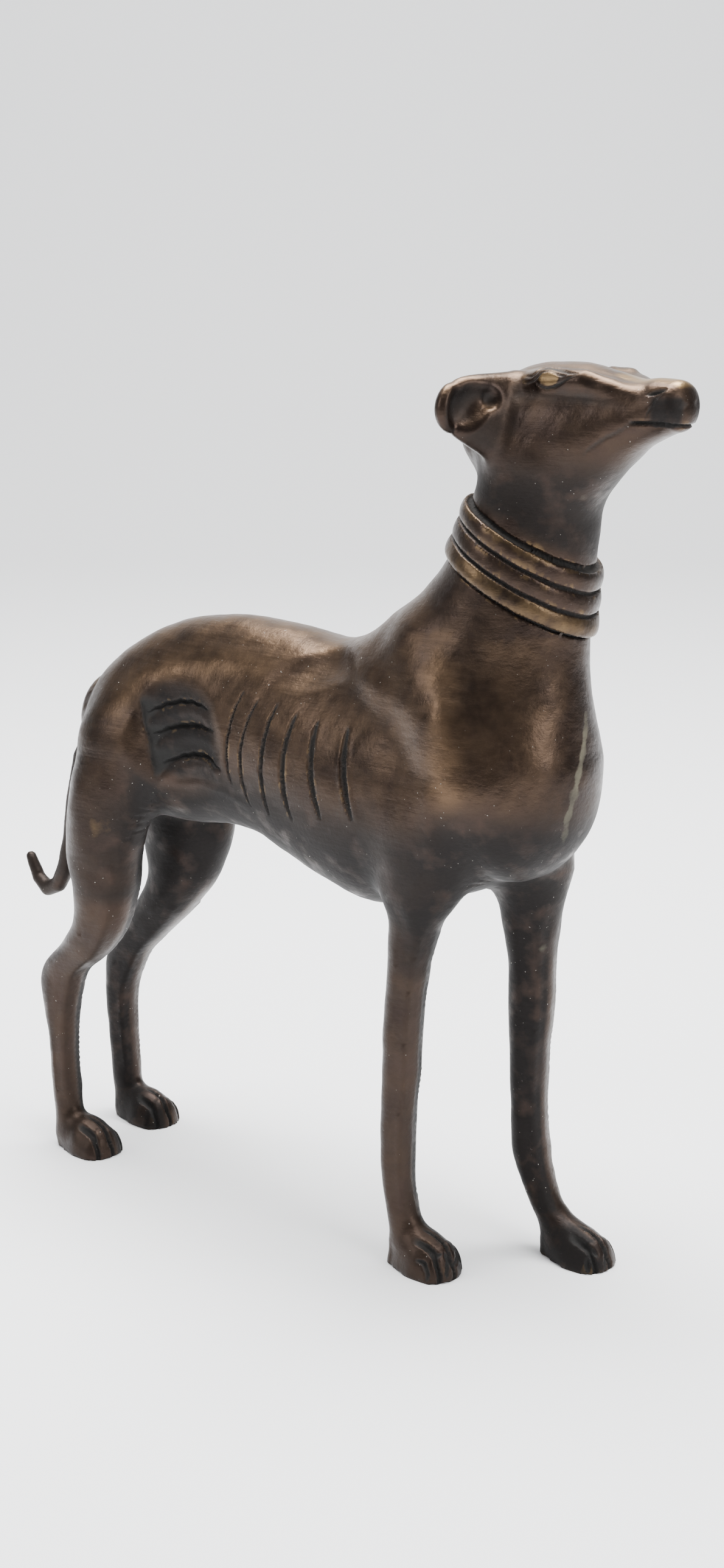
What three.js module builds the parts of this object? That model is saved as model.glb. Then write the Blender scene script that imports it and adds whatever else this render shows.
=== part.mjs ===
// A standing greyhound, cast in bronze as one piece with its collar, then chased with a chisel.
// +X is the way the dog faces, +Y its left side, +Z up. The soles of the paws stand at Z = 0.
import * as THREE from "three";

// Driving sizes, in millimetres
const HEIGHT = 367; // soles to the top of the brow
const LATTICE = 1.5; // step of the lattice on which the form is cast
const FACES = 9400; // faces that the form keeps
const RIB_DEPTH = 1.9; // chisel cuts between the ribs
const FOLD_DEPTH = 2.4; // stepped folds of the flank
const COLLAR_RISE = 2.6; // how far the bands of the collar stand off the neck
const COLLAR_BAND = 8; // width of one band
const TOE_DEPTH = 2.2; // cuts between the toes
const MOUTH_DEPTH = 1.5;
const EYE_DEPTH = 1.6;

// The figure's own canon: it stands 367 parts high, and heights count from 5 parts under the soles.
// All places and radii below are in parts.
const PART = HEIGHT / 367;
const SOLES = 5;
const HEAD_TURN = THREE.MathUtils.degToRad(8); // the head looks a little to the dog's right
const HEAD_AT = [126, 0]; // the middle of the line between the ears
const HIND_SWING = [3.2, -3.7]; // the hindquarters stand a little forward and to the dog's right

const clamp = THREE.MathUtils.clamp;
const smooth = (a, b, x) => {
  const t = clamp((x - a) / (b - a), 0, 1);
  return t * t * (3 - 2 * t);
};
const bowl = (x) => Math.max(1 - x * x, 0);

// Stations are rows of a place and the values there. Between rows the values follow smooth curves.
function stationsAt(rows, s) {
  const last = rows.length - 1;
  if (s <= rows[0][0]) return rows[0];
  if (s >= rows[last][0]) return rows[last];
  let i = 0;
  while (rows[i + 1][0] < s) i++;
  const before = rows[Math.max(i - 1, 0)];
  const from = rows[i];
  const to = rows[i + 1];
  const after = rows[Math.min(i + 2, last)];
  const span = to[0] - from[0];
  const t = (s - from[0]) / span;
  return from.map((value, k) => {
    const leave = ((to[k] - before[k]) / (to[0] - before[0])) * span;
    const arrive = ((after[k] - value) / (after[0] - from[0])) * span;
    const ease = t * t * (3 - 2 * t);
    return value + (to[k] - value) * ease + leave * t * (1 - t) ** 2 - arrive * t * t * (1 - t);
  });
}

// Signed distance, near enough, to an ellipsoid of half sizes a, b and c.
function ellipsoidal(x, y, z, a, b, c) {
  const inside = Math.hypot(x / a, y / b, z / c);
  if (inside < 1e-6) return -Math.min(a, b, c);
  return (inside * (inside - 1)) / Math.hypot(x / a / a, y / b / b, z / c / c);
}

// A mass drawn along a straight axis through stations of low edge, high edge and half width, and,
// where they are given, a sideways shift and how much the section narrows upwards.
function loft({ from = [0, 0, 0], along, up, cap, rows }) {
  const axis = new THREE.Vector3(...along).normalize();
  const side = new THREE.Vector3(...up).cross(axis).normalize();
  const rise = axis.clone().cross(side);
  const first = rows[0][0];
  const end = rows[rows.length - 1][0];
  return (x, y, z) => {
    const [dx, dy, dz] = [x - from[0], y - from[1], z - from[2]];
    const s = dx * axis.x + dy * axis.y + dz * axis.z;
    const u = dx * rise.x + dy * rise.y + dz * rise.z;
    const v = dx * side.x + dy * side.y + dz * side.z;
    const [, low, high, half, shift = 0, narrow = 0] = stationsAt(rows, s);
    const deep = (high - low) / 2;
    const across = u - (high + low) / 2;
    const wide = half * (1 - narrow * clamp(across / deep, -1, 1));
    const past = s < first ? s - first : Math.max(s - end, 0);
    return ellipsoidal(across, v - shift, past, deep, wide, s < first ? cap[0] : cap[1]);
  };
}

// A round limb through points that each carry their own radius.
function limb(points) {
  return (x, y, z) => {
    let nearest = Infinity;
    for (let i = 0; i + 1 < points.length; i++) {
      const [ax, ay, az, ar] = points[i];
      const [bx, by, bz, br] = points[i + 1];
      const [sx, sy, sz] = [bx - ax, by - ay, bz - az];
      const run = (x - ax) * sx + (y - ay) * sy + (z - az) * sz;
      const t = clamp(run / (sx * sx + sy * sy + sz * sz), 0, 1);
      const reach = Math.hypot(x - ax - t * sx, y - ay - t * sy, z - az - t * sz);
      nearest = Math.min(nearest, reach - ar - t * (br - ar));
    }
    return nearest;
  };
}

// Joins two masses with a fillet, or cuts the second out of the first with one.
const join = (a, b, fillet) => Math.min(a, b) - Math.max(fillet - Math.abs(a - b), 0) ** 2 / (4 * fillet);
const cut = (a, b, fillet) => -join(-a, b, fillet);

const torso = loft({
  along: [1, 0, 0],
  up: [0, 0, 1],
  cap: [11, 33],
  rows: [
    [-110, 190, 228, 17, 0, 0],
    [-102, 180, 236, 22, 0, 0],
    [-88, 172, 245.5, 27, 0, 0],
    [-69, 168, 254.4, 29.5, 0, 0.1],
    [-50, 168, 259.4, 29.5, 0, 0.15],
    [-28, 170, 261.8, 29, 0, 0.15],
    [-10, 168, 261.4, 30.5, 0, 0.12],
    [8, 162, 259.8, 33.5, 0, 0.08],
    [30, 154.5, 257, 37, 0, 0.05],
    [55, 150, 255.5, 39, 0, 0.05],
    [80, 156, 257, 39.5, 0, 0.05],
    [102, 163.5, 257, 38, 0, 0.05],
    [116, 170, 252, 36, 0, 0],
  ],
});

const neck = loft({
  from: [98, 0, 240],
  along: [0.292, 0, 0.956],
  up: [0.956, 0, -0.292],
  cap: [14, 14],
  rows: [
    [0, -58, 45, 34, 0, 0],
    [18, -47, 43.4, 31, 0, 0],
    [36, -33.5, 37.8, 28, 0, 0],
    [58, -24.6, 32, 25.5, 0, 0],
    [82, -22, 27.8, 24, 0, 0],
    [98, -20, 25, 22, 0, 0],
  ],
});

// The collar is three bands with rounded edges, low at the throat and high at the nape.
const COLLAR_MIDDLE = [117, 297.6];
const COLLAR_TILT = THREE.MathUtils.degToRad(27);
const COLLAR_LEAN = 0.124; // it sits lower on the dog's left
const COLLAR_BANDS = 3;
const COLLAR_SEAM = [1.7, 0.5]; // half width, and depth as a share of the rise
function collar(x, y, z) {
  const [dx, dz] = [x - COLLAR_MIDDLE[0], z - COLLAR_MIDDLE[1]];
  const up = dx * Math.sin(COLLAR_TILT) + dz * Math.cos(COLLAR_TILT) + COLLAR_LEAN * y;
  const along = up / COLLAR_BAND + COLLAR_BANDS / 2;
  if (along <= 0 || along >= COLLAR_BANDS) return 0;
  const sleeve = Math.sqrt(1 - ((2 * along) / COLLAR_BANDS - 1) ** 16);
  const seam = (along - Math.round(along)) * COLLAR_BAND;
  return COLLAR_RISE * (sleeve - COLLAR_SEAM[1] * bowl(seam / COLLAR_SEAM[0]));
}

const shoulders = [
  limb([
    [86, -17, 262, 9],
    [106, -24, 236, 13],
    [113, -25, 212, 14],
    [90, -26, 188, 12],
    [84, -24, 168, 10],
  ]),
  limb([
    [86, 17, 262, 9],
    [106, 24, 236, 13],
    [115, 25, 212, 14],
    [104, 26, 188, 12],
    [105, 24, 168, 10],
  ]),
];

// Legs: rows of height, back edge, front edge, half width and how far the leg stands from the middle.
const legOf = (rows) => loft({ along: [0, 0, 1], up: [1, 0, 0], cap: [5, 24], rows });
const frontLegs = [
  legOf([
    [16, 75, 92.5, 7, 24],
    [24, 73.8, 88.8, 6.6, 24],
    [32, 72, 85.7, 6.4, 24],
    [42, 70.4, 84, 6.4, 24],
    [64, 69.8, 84, 6.8, 24],
    [85, 70.8, 86, 7.2, 24],
    [106, 71.2, 87.2, 7.6, 24],
    [127, 73, 89.6, 7.8, 24],
    [148, 73.8, 94.5, 9.3, 23.5],
    [165, 74, 105, 12, 23],
    [185, 74, 112, 14, 22],
  ]),
  legOf([
    [13, 118, 138, 7.4, -24],
    [20, 114.5, 132, 7.2, -24],
    [27, 110.5, 124.5, 6.8, -24],
    [37, 105.2, 120, 6.8, -24],
    [47, 101.5, 117.6, 7.2, -24],
    [68, 100.5, 115.6, 7.2, -24],
    [89, 99.4, 116, 7.8, -24],
    [110, 98.6, 117.9, 8.6, -24],
    [131, 98, 118.4, 9.2, -24],
    [148, 95, 120.5, 11, -23.5],
    [170, 92, 127, 14.5, -22],
  ]),
];
const hindLegs = [
  legOf([
    [12, -129.5, -113, 7.5, 22],
    [23, -130.6, -117, 6.6, 22],
    [47, -132.6, -119.8, 6.4, 22],
    [59, -133.2, -119.3, 6.8, 22],
    [71, -135.3, -118.2, 7.4, 22],
    [83, -137.3, -115, 8.2, 22],
    [92, -134.4, -110.5, 8.8, 22],
    [104, -122.6, -95.6, 10, 22],
    [118, -112, -85, 12, 22],
    [135, -110.5, -79.5, 14, 22],
    [147, -113.5, -77.5, 15, 22],
    [159, -114, -74.5, 16, 21.5],
    [180, -112, -67, 17, 20],
    [198, -109, -61, 16, 18],
  ]),
  legOf([
    [10, -135.5, -119.5, 7.5, -22],
    [21, -137.4, -123, 6.8, -22],
    [45, -139.3, -125.7, 6.8, -22],
    [58, -140.4, -126.2, 7, -22],
    [70, -140.6, -124.8, 7.6, -22],
    [83, -139.8, -119.2, 8.2, -22],
    [91, -136, -113.7, 8.8, -22],
    [105, -125.6, -98.4, 10.5, -22],
    [119, -114.4, -83, 13, -22],
    [132, -108, -71.5, 14, -22],
    [145, -110, -64.5, 15, -22],
    [157, -112, -60, 16, -21.5],
    [180, -112, -58, 17, -20],
    [198, -109, -56, 16, -18],
  ]),
];

// Paws: the back edge of each and how far it stands from the middle; the front pair is the rounder.
const pawOf = (rise, cap, halves) =>
  loft({
    along: [1, 0, 0],
    up: [0, 0, 1],
    cap,
    rows: [
      [6, -10, 17, halves[0]],
      [12, -10, 20 + rise / 2, halves[1]],
      [19, -10, 19.6 + rise, halves[2]],
      [26.5, -10, 16.8 + rise, halves[3]],
    ],
  });
const FRONT_HALVES = [6.6, 9.2, 11.4, 11.2];
const HIND_HALVES = [7.2, 9.4, 11.2, 11.2];
const paws = [
  { shape: pawOf(3, [5, 8], FRONT_HALVES), at: [73, -24] },
  { shape: pawOf(0.6, [5, 8], FRONT_HALVES), at: [116, 24] },
  { shape: pawOf(1.6, [5, 8], HIND_HALVES), at: [-129, -22] },
  { shape: pawOf(1, [5, 8], HIND_HALVES), at: [-135.4, 22] },
];
const TOE_CUTS = [-1, 0, 1]; // one between each two toes, fanning out forwards
const TOE_SPREAD = 6.4;
const TOE_HALF = 1.7;
const TOE_START = [14, 22];
function toes(x, y) {
  let depth = 0;
  for (const cutAt of TOE_CUTS) {
    const off = y - cutAt * TOE_SPREAD * (0.75 + x / 90);
    depth = Math.max(depth, bowl(off / TOE_HALF));
  }
  return TOE_DEPTH * depth * smooth(...TOE_START, x);
}

const tail = limb([
  [-112, 0, 214, 6],
  [-122, 0, 202, 5],
  [-131, 0, 186, 4.8],
  [-137, 0, 166, 4.5],
  [-141, 0, 146, 4.2],
  [-145.5, 0, 131, 4],
  [-151, 0, 121.5, 3.8],
  [-158.5, 0, 118, 3.6],
  [-165, 0, 122.5, 3.2],
  [-170, 0, 132, 2.3],
]);

// The head is drawn in its own frame: s from the line of the ears to the nose, l to the dog's left.
const head = loft({
  along: [1, 0, 0],
  up: [0, 0, 1],
  cap: [13, 6],
  rows: [
    [-20, 328, 361, 19, 0, 0],
    [-10, 322, 367.4, 22.5, 0, 0.04],
    [2, 318, 371, 23, 0, 0.06],
    [14, 318, 371.4, 21.5, 0, 0.05],
    [26, 322, 370.8, 18.8, 0, 0.06],
    [38, 332, 368.4, 15, 0, 0.08],
    [48, 340, 366.4, 12, 0, 0.08],
    [58, 345, 366.9, 10, 0, 0.04],
    [65.5, 348, 366.4, 9.2, 0, 0],
  ],
});
const brow = limb([
  [4, 12, 362.5, 4.6],
  [16, 13.6, 365, 5.2],
  [32, 12.4, 365, 4.4],
]);
const ear = loft({
  along: [0, 1, 0],
  up: [0, 0, 1],
  cap: [6, 7.6],
  rows: [
    [14, 328, 368, 8, 2, 0],
    [22, 334, 367.5, 7.4, 3, 0],
    [30, 339, 367, 6.6, 4.5, 0],
    [37, 343.5, 366, 5.8, 6.3, 0],
    [40, 346, 364.5, 5.2, 7.2, 0],
  ],
});
const earCup = loft({
  along: [0, 1, 0],
  up: [0, 0, 1],
  cap: [3.5, 4.2],
  rows: [
    [29.5, 355, 361.8, 3.6, -0.6, 0],
    [35, 349, 363, 5.4, 0.6, 0],
    [40, 346.5, 361.8, 5, 2.2, 0],
  ],
});

// Chisel work on the head: the mouth, the nostrils and an almond round each eye.
const MOUTH_LINE = { height: 351.3, fall: 1.6, corner: [51, 55], front: [64, 76], half: 1.4 };
const NOSTRIL = { at: [61, 362.6], long: 4, high: 1.1, slope: 0.25, depth: 1.3, out: 4 };
const EYE = { at: [18.5, 366], long: 12.5, high: 3.4, slope: 0.14, line: 1.3, out: 6 };
function mouthCut(s, z) {
  const line = MOUTH_LINE.height - MOUTH_LINE.fall * smooth(...MOUTH_LINE.front, s);
  return MOUTH_DEPTH * bowl((z - line) / MOUTH_LINE.half) * smooth(...MOUTH_LINE.corner, s);
}
function nostrilCut(s, z) {
  const [ds, dz] = [s - NOSTRIL.at[0], z - NOSTRIL.at[1]];
  return NOSTRIL.depth * bowl(Math.hypot(ds / NOSTRIL.long, (dz - NOSTRIL.slope * ds) / NOSTRIL.high));
}
function eyeCut(s, z) {
  const [ds, dz] = [s - EYE.at[0], z - EYE.at[1]];
  const open = EYE.high * Math.sqrt(bowl(ds / EYE.long));
  if (open === 0) return 0;
  return EYE_DEPTH * bowl((Math.abs(dz - EYE.slope * ds) - open) / EYE.line);
}
function faceCuts(s, l, z) {
  let depth = mouthCut(s, z);
  if (l > NOSTRIL.out) depth += nostrilCut(s, z);
  if (l > EYE.out) depth += eyeCut(s, z);
  return depth;
}

// Chisel work on the sides, seen from the side: x along the dog, z up.
const RIB_HALF = 1.7;
const RIBS = [
  { top: [-3.5, 235.5], bottom: [-8.6, 194.8], bend: -4.1 },
  { top: [6.1, 233], bottom: [1.6, 187.2], bend: -5.3 },
  { top: [18, 233.3], bottom: [14.7, 185.3], bend: -4 },
  { top: [30, 230.6], bottom: [30.2, 186.6], bend: -4.2 },
  { top: [42.3, 229.5], bottom: [48.2, 190.6], bend: -2.7 },
  { top: [58.6, 228.9], bottom: [65.6, 193], bend: -1.5 },
];
function ribCuts(x, z) {
  let depth = 0;
  for (const { top, bottom, bend } of RIBS) {
    const t = (top[1] - z) / (top[1] - bottom[1]);
    if (t <= 0 || t >= 1) continue;
    const off = x - top[0] - t * (bottom[0] - top[0]) - 4 * t * (1 - t) * bend;
    const swell = Math.sqrt(Math.sin(Math.PI * t));
    depth = Math.max(depth, swell * bowl(off / (RIB_HALF * swell)));
  }
  return RIB_DEPTH * depth;
}
const FOLDS = [
  [-36, 226.6],
  [-32, 216.8],
  [-28, 204.2],
];
const FOLD_BOW = 0.0115;
const FOLD_REACH = { back: 7, ends: [21, 16] };
function folds(x, z) {
  let depth = 0;
  for (const [middle, top] of FOLDS) {
    const above = z - top + FOLD_BOW * (x - middle) ** 2;
    const within = smooth(...FOLD_REACH.ends, Math.abs(x - middle + FOLD_REACH.back));
    const groove = Math.exp(-((above / 1.5) ** 2));
    const lip = 0.6 * Math.exp(-(((above + 5) / 3.2) ** 2));
    depth += within * FOLD_DEPTH * (groove - lip);
  }
  return depth;
}
const FLANK = { at: [-42, 209], long: 29, high: 29, depth: 6 };
const SADDLE = { at: [33, 247], long: 26, high: 9, slope: 0.25, depth: 2.6 };
function flank(x, z) {
  const away = Math.hypot((x - FLANK.at[0]) / FLANK.long, (z - FLANK.at[1]) / FLANK.high);
  return FLANK.depth * bowl(away) ** 1.5;
}
function saddle(x, z) {
  const [dx, dz] = [x - SADDLE.at[0], z - SADDLE.at[1]];
  const away = Math.hypot(dx / SADDLE.long, (dz - SADDLE.slope * dx) / SADDLE.high);
  return SADDLE.depth * bowl(away) ** 1.5;
}

// From the dog's frame into the head's: along the head, and out to either side of its middle.
function intoHead(x, y) {
  const [hx, hy] = [x - HEAD_AT[0], y - HEAD_AT[1]];
  const s = hx * Math.cos(HEAD_TURN) - hy * Math.sin(HEAD_TURN);
  const l = Math.abs(hx * Math.sin(HEAD_TURN) + hy * Math.cos(HEAD_TURN));
  return [s, l];
}
function headMass(x, y, z) {
  const [s, l] = intoHead(x, y);
  const face = join(head(s, l, z), brow(s, l, z), 3.5);
  return join(face, cut(ear(s, l, z), earCup(s, l, z), 2), 4);
}

// The whole figure: below zero inside the bronze. Each mass is asked only where it can reach.
const REACH = {
  chest: 20,
  head: 300,
  legs: 245,
  paws: 45,
  tail: -85,
  face: 340,
  side: [10, 16],
  flanks: [170, 262],
  toes: [20, 16],
  skin: [6, -9],
};
function masses(x, y, z) {
  let d = torso(x, y, z);
  if (x > REACH.chest) {
    d = join(d, neck(x, y, z) - collar(x, y, z), 16);
    for (const shoulder of shoulders) d = join(d, shoulder(x, y, z), 14);
  }
  if (z > REACH.head) d = join(d, headMass(x, y, z), 9);
  if (z < REACH.legs) {
    for (const leg of x > 0 ? frontLegs : hindLegs) d = join(d, leg(x, y, z), 9);
  }
  if (z < REACH.paws) {
    for (const { shape, at } of paws) d = join(d, shape(x - at[0], y - at[1], z), 5);
  }
  if (x < REACH.tail) d = join(d, tail(x, y, z), 6);
  return d;
}
function figure(atX, atY, z) {
  const swing = smooth(40, -110, atX);
  const x = atX - swing * HIND_SWING[0];
  const y = atY - swing * HIND_SWING[1];
  let d = masses(x, y, z);
  if (d > REACH.skin[0] || d < REACH.skin[1]) return Math.max(d, SOLES - z);
  if (z > REACH.face) d += faceCuts(...intoHead(x, y), z);
  const side = smooth(...REACH.side, Math.abs(y));
  if (side > 0 && z > REACH.flanks[0] && z < REACH.flanks[1]) {
    d += side * (ribCuts(x, z) + folds(x, z) + flank(x, z) + saddle(x, z));
  }
  if (z < SOLES + REACH.toes[0]) {
    for (const { at } of paws) {
      if (Math.abs(y - at[1]) < REACH.toes[1]) d += toes(x - at[0], y - at[1]);
    }
  }
  return Math.max(d, SOLES - z);
}

// Casts a form on a lattice: one point in every cell that its skin passes through, starting from a
// seed inside and spreading from cell to cell, and one face across every lattice edge that it cuts.
function castForm(field, seed, low, high, cell) {
  const counts = high.map((h, i) => Math.ceil((h - low[i]) / cell) + 2);
  const stride = [1, counts[0], counts[0] * counts[1]];
  const known = new Float32Array(counts[0] * counts[1] * counts[2]).fill(NaN);
  const valueAt = (i, j, k) => {
    const n = i + stride[1] * j + stride[2] * k;
    if (Number.isNaN(known[n])) known[n] = field(low[0] + i * cell, low[1] + j * cell, low[2] + k * cell);
    return known[n];
  };
  const start = seed.map((v, i) => Math.round((v - low[i]) / cell));
  while (valueAt(...start) < 0) start[0]++;
  start[0]--;
  const corners = [0, 1, 2, 3, 4, 5, 6, 7].map((n) => [n & 1, (n >> 1) & 1, n >> 2]);
  const edges = [];
  for (let a = 0; a < 8; a++) {
    for (const bit of [1, 2, 4]) if (!(a & bit)) edges.push([a, a | bit]);
  }
  const keyOf = ([i, j, k]) => i + stride[1] * j + stride[2] * k;
  const skinCells = () => {
    const cells = [];
    const queue = [start];
    const seen = new Set([keyOf(start)]);
    while (queue.length) {
      const [i, j, k] = queue.pop();
      const hollow = corners.filter(([a, b, c]) => valueAt(i + a, j + b, k + c) >= 0).length;
      if (hollow === 0 || hollow === 8) continue;
      cells.push([i, j, k]);
      for (let n = 0; n < 3; n++)
        for (const way of [-1, 1]) {
          const next = [i, j, k];
          next[n] += way;
          if (seen.has(keyOf(next))) continue;
          seen.add(keyOf(next));
          queue.push(next);
        }
    }
    return cells;
  };
  // Where metal and hollow meet corner to corner across a lattice square, the skin would touch
  // itself, so the shallower of the two hollow corners is filled.
  const fillPinches = (cells) => {
    let filled = 0;
    for (const place of cells) {
      const here = keyOf(place);
      for (let n = 0; n < 3; n++) {
        const [u, w] = [stride[(n + 1) % 3], stride[(n + 2) % 3]];
        const [v0, v1, v2, v3] = [here, here + u, here + u + w, here + w].map((c) => known[c] < 0);
        if (v0 !== v2 || v1 !== v3 || v0 === v1) continue;
        const [a, b] = v0 ? [here + u, here + w] : [here, here + u + w];
        known[known[a] < known[b] ? a : b] = -0.05 * cell;
        filled++;
      }
    }
    return filled;
  };
  let cells = skinCells();
  while (fillPinches(cells)) cells = skinCells();

  const pointOf = new Map();
  const points = cells.map((place, index) => {
    pointOf.set(keyOf(place), index);
    const v = corners.map((corner) => known[keyOf(place.map((c, n) => c + corner[n]))]);
    const sum = [0, 0, 0];
    let crossings = 0;
    for (const [a, b] of edges) {
      if (v[a] < 0 === v[b] < 0) continue;
      const t = v[a] / (v[a] - v[b]);
      for (let n = 0; n < 3; n++) sum[n] += corners[a][n] + t * (corners[b][n] - corners[a][n]);
      crossings++;
    }
    return sum.map((total, n) => low[n] + (place[n] + total / crossings) * cell);
  });
  const faces = [];
  for (const place of cells) {
    const here = keyOf(place);
    for (let n = 0; n < 3; n++) {
      const inside = known[here] < 0;
      if (inside === known[here + stride[n]] < 0) continue;
      const [u, w] = [stride[(n + 1) % 3], stride[(n + 2) % 3]];
      const ring = [here, here - u, here - u - w, here - w].map((c) => pointOf.get(c));
      if (!inside) ring.reverse();
      faces.push([ring[0], ring[1], ring[2]], [ring[0], ring[2], ring[3]]);
    }
  }
  return { points, faces };
}

// Thins a closed mesh by drawing its edges together, flattest first, until the wanted faces are left.
// Each point keeps the sum of its faces' planes, which tells how far a move would leave the form.
function thin({ points, faces }, wanted) {
  const planes = points.map(() => new Float64Array(10));
  const facesOf = points.map(() => new Set());
  const normalOf = (a, b, c) => {
    const [ux, uy, uz] = [b[0] - a[0], b[1] - a[1], b[2] - a[2]];
    const [vx, vy, vz] = [c[0] - a[0], c[1] - a[1], c[2] - a[2]];
    return [uy * vz - uz * vy, uz * vx - ux * vz, ux * vy - uy * vx];
  };
  faces.forEach((face, f) => {
    const [a, b, c] = face.map((p) => points[p]);
    const n = normalOf(a, b, c);
    const area = Math.hypot(...n) || 1e-12;
    const [nx, ny, nz] = n.map((v) => v / area);
    const off = -(nx * a[0] + ny * a[1] + nz * a[2]);
    const plane = [nx, ny, nz, off];
    const q = plane.flatMap((v, i) => plane.slice(i).map((other) => v * other));
    for (const p of face) {
      facesOf[p].add(f);
      q.forEach((v, i) => (planes[p][i] += v * area));
    }
  });
  const errorAt = (q, [x, y, z]) =>
    q[0] * x * x + 2 * q[1] * x * y + 2 * q[2] * x * z + 2 * q[3] * x + q[4] * y * y +
    2 * q[5] * y * z + 2 * q[6] * y + q[7] * z * z + 2 * q[8] * z + q[9];
  const best = (a, b) => {
    const q = planes[a].map((v, i) => v + planes[b][i]);
    const middle = points[a].map((v, i) => (v + points[b][i]) / 2);
    const tries = [points[a], points[b], middle];
    const [m00, m01, m02, m11, m12, m22] = [q[0], q[1], q[2], q[4], q[5], q[7]];
    const [c0, c1, c2] = [m11 * m22 - m12 * m12, m02 * m12 - m01 * m22, m01 * m12 - m02 * m11];
    const det = m00 * c0 + m01 * c1 + m02 * c2;
    const size = m00 + m11 + m22;
    if (Math.abs(det) > 1e-4 * size ** 3) {
      const [r0, r1, r2] = [-q[3], -q[6], -q[8]];
      const at = [
        (c0 * r0 + c1 * r1 + c2 * r2) / det,
        (c1 * r0 + (m00 * m22 - m02 * m02) * r1 + (m01 * m02 - m00 * m12) * r2) / det,
        (c2 * r0 + (m01 * m02 - m00 * m12) * r1 + (m00 * m11 - m01 * m01) * r2) / det,
      ];
      const reach = Math.hypot(...points[a].map((v, i) => v - points[b][i]));
      if (Math.hypot(...at.map((v, i) => v - middle[i])) < 1.5 * reach) tries.push(at);
    }
    let pick = tries[0];
    let least = Infinity;
    for (const at of tries) {
      const error = errorAt(q, at) + 1e-3 * at.reduce((sum, v, i) => sum + (v - middle[i]) ** 2, 0);
      if (error < least) [pick, least] = [at, error];
    }
    return { at: pick, error: least };
  };
  const heap = [];
  const push = (item) => {
    let n = heap.push(item) - 1;
    while (n > 0 && heap[(n - 1) >> 1].error > heap[n].error) {
      const parent = (n - 1) >> 1;
      [heap[parent], heap[n]] = [heap[n], heap[parent]];
      n = parent;
    }
  };
  const pop = () => {
    const top = heap[0];
    const item = heap.pop();
    if (!heap.length) return top;
    let n = 0;
    for (;;) {
      let child = 2 * n + 1;
      if (child >= heap.length) break;
      if (child + 1 < heap.length && heap[child + 1].error < heap[child].error) child++;
      if (heap[child].error >= item.error) break;
      heap[n] = heap[child];
      n = child;
    }
    heap[n] = item;
    return top;
  };
  const stamp = new Int32Array(points.length);
  const gone = new Uint8Array(points.length);
  const offer = (a, b) => push({ a, b, stamps: stamp[a] + stamp[b], ...best(a, b) });
  for (const [a, b, c] of faces) {
    if (a < b) offer(a, b);
    if (b < c) offer(b, c);
    if (c < a) offer(c, a);
  }
  const roundOf = (p) => {
    const round = new Set();
    for (const f of facesOf[p]) for (const other of faces[f]) if (other !== p) round.add(other);
    return round;
  };
  const turns = (p, other, at) => {
    for (const f of facesOf[p]) {
      const face = faces[f];
      if (face.includes(other)) continue;
      const old = normalOf(...face.map((v) => points[v]));
      const now = normalOf(...face.map((v) => (v === p ? at : points[v])));
      const lengths = Math.hypot(...old) * Math.hypot(...now);
      if (old[0] * now[0] + old[1] * now[1] + old[2] * now[2] < 0.5 * lengths) return true;
      const sides = face.map((v, i) => {
        const [from, to] = [v, face[(i + 1) % 3]].map((e) => (e === p ? at : points[e]));
        return Math.hypot(from[0] - to[0], from[1] - to[1], from[2] - to[2]);
      });
      if (Math.hypot(...now) < 0.06 * Math.max(...sides) ** 2) return true;
    }
    return false;
  };
  let left = faces.length;
  while (left > wanted && heap.length) {
    const { a, b, at, stamps } = pop();
    if (gone[a] || gone[b] || stamps !== stamp[a] + stamp[b]) continue;
    const roundA = roundOf(a);
    let shared = 0;
    for (const p of roundOf(b)) if (roundA.has(p)) shared++;
    if (shared !== 2 || turns(a, b, at) || turns(b, a, at)) continue;
    for (const f of facesOf[b]) {
      if (faces[f].includes(a)) {
        for (const p of faces[f]) if (p !== b) facesOf[p].delete(f);
        faces[f] = null;
        left--;
      } else {
        faces[f] = faces[f].map((p) => (p === b ? a : p));
        facesOf[a].add(f);
      }
    }
    gone[b] = 1;
    points[a] = at;
    planes[b].forEach((v, i) => (planes[a][i] += v));
    stamp[a] += 1 + stamp[b];
    for (const p of roundOf(a)) offer(a, p);
  }
  return { points, faces: faces.filter(Boolean) };
}

const low = [-176 * PART, -60 * PART, -3.5 * LATTICE]; // the soles lie half way up a layer of cells
const high = [206, 62, 372].map((v) => v * PART);
const chestAt = [40, 0, 195].map((v) => v * PART);
const scaled = (x, y, z) => figure(x / PART, y / PART, z / PART + SOLES) * PART;
const cast = castForm(scaled, chestAt, low, high, LATTICE);
cast.points = cast.points.map(([x, y, z]) => [x, y, z < LATTICE / 2 ? 0 : z]);
const form = thin(cast, FACES);
const SOLE_TRUE = 0.25; // what ends this near the floor is rubbed flat with the soles
form.points = form.points.map(([x, y, z]) => [x, y, z < SOLE_TRUE ? 0 : z]);

const geometry = new THREE.BufferGeometry();
const used = [...new Set(form.faces.flat())];
const numbered = new Map(used.map((p, i) => [p, i]));
geometry.setAttribute("position", new THREE.Float32BufferAttribute(used.flatMap((p) => form.points[p]), 3));
geometry.setIndex(form.faces.flatMap((face) => face.map((p) => numbered.get(p))));
geometry.computeBoundingBox();
const middle = geometry.boundingBox.getCenter(new THREE.Vector3());

const bronze = new THREE.MeshStandardMaterial({ color: 0x4a382c, roughness: 0.38, metalness: 0.9 });
const greyhound = new THREE.Mesh(geometry, bronze);
greyhound.name = "greyhound";
greyhound.position.set(-middle.x, -middle.y, 0);

const statue = new THREE.Group();
statue.add(greyhound);
export default statue;
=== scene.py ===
import math

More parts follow.
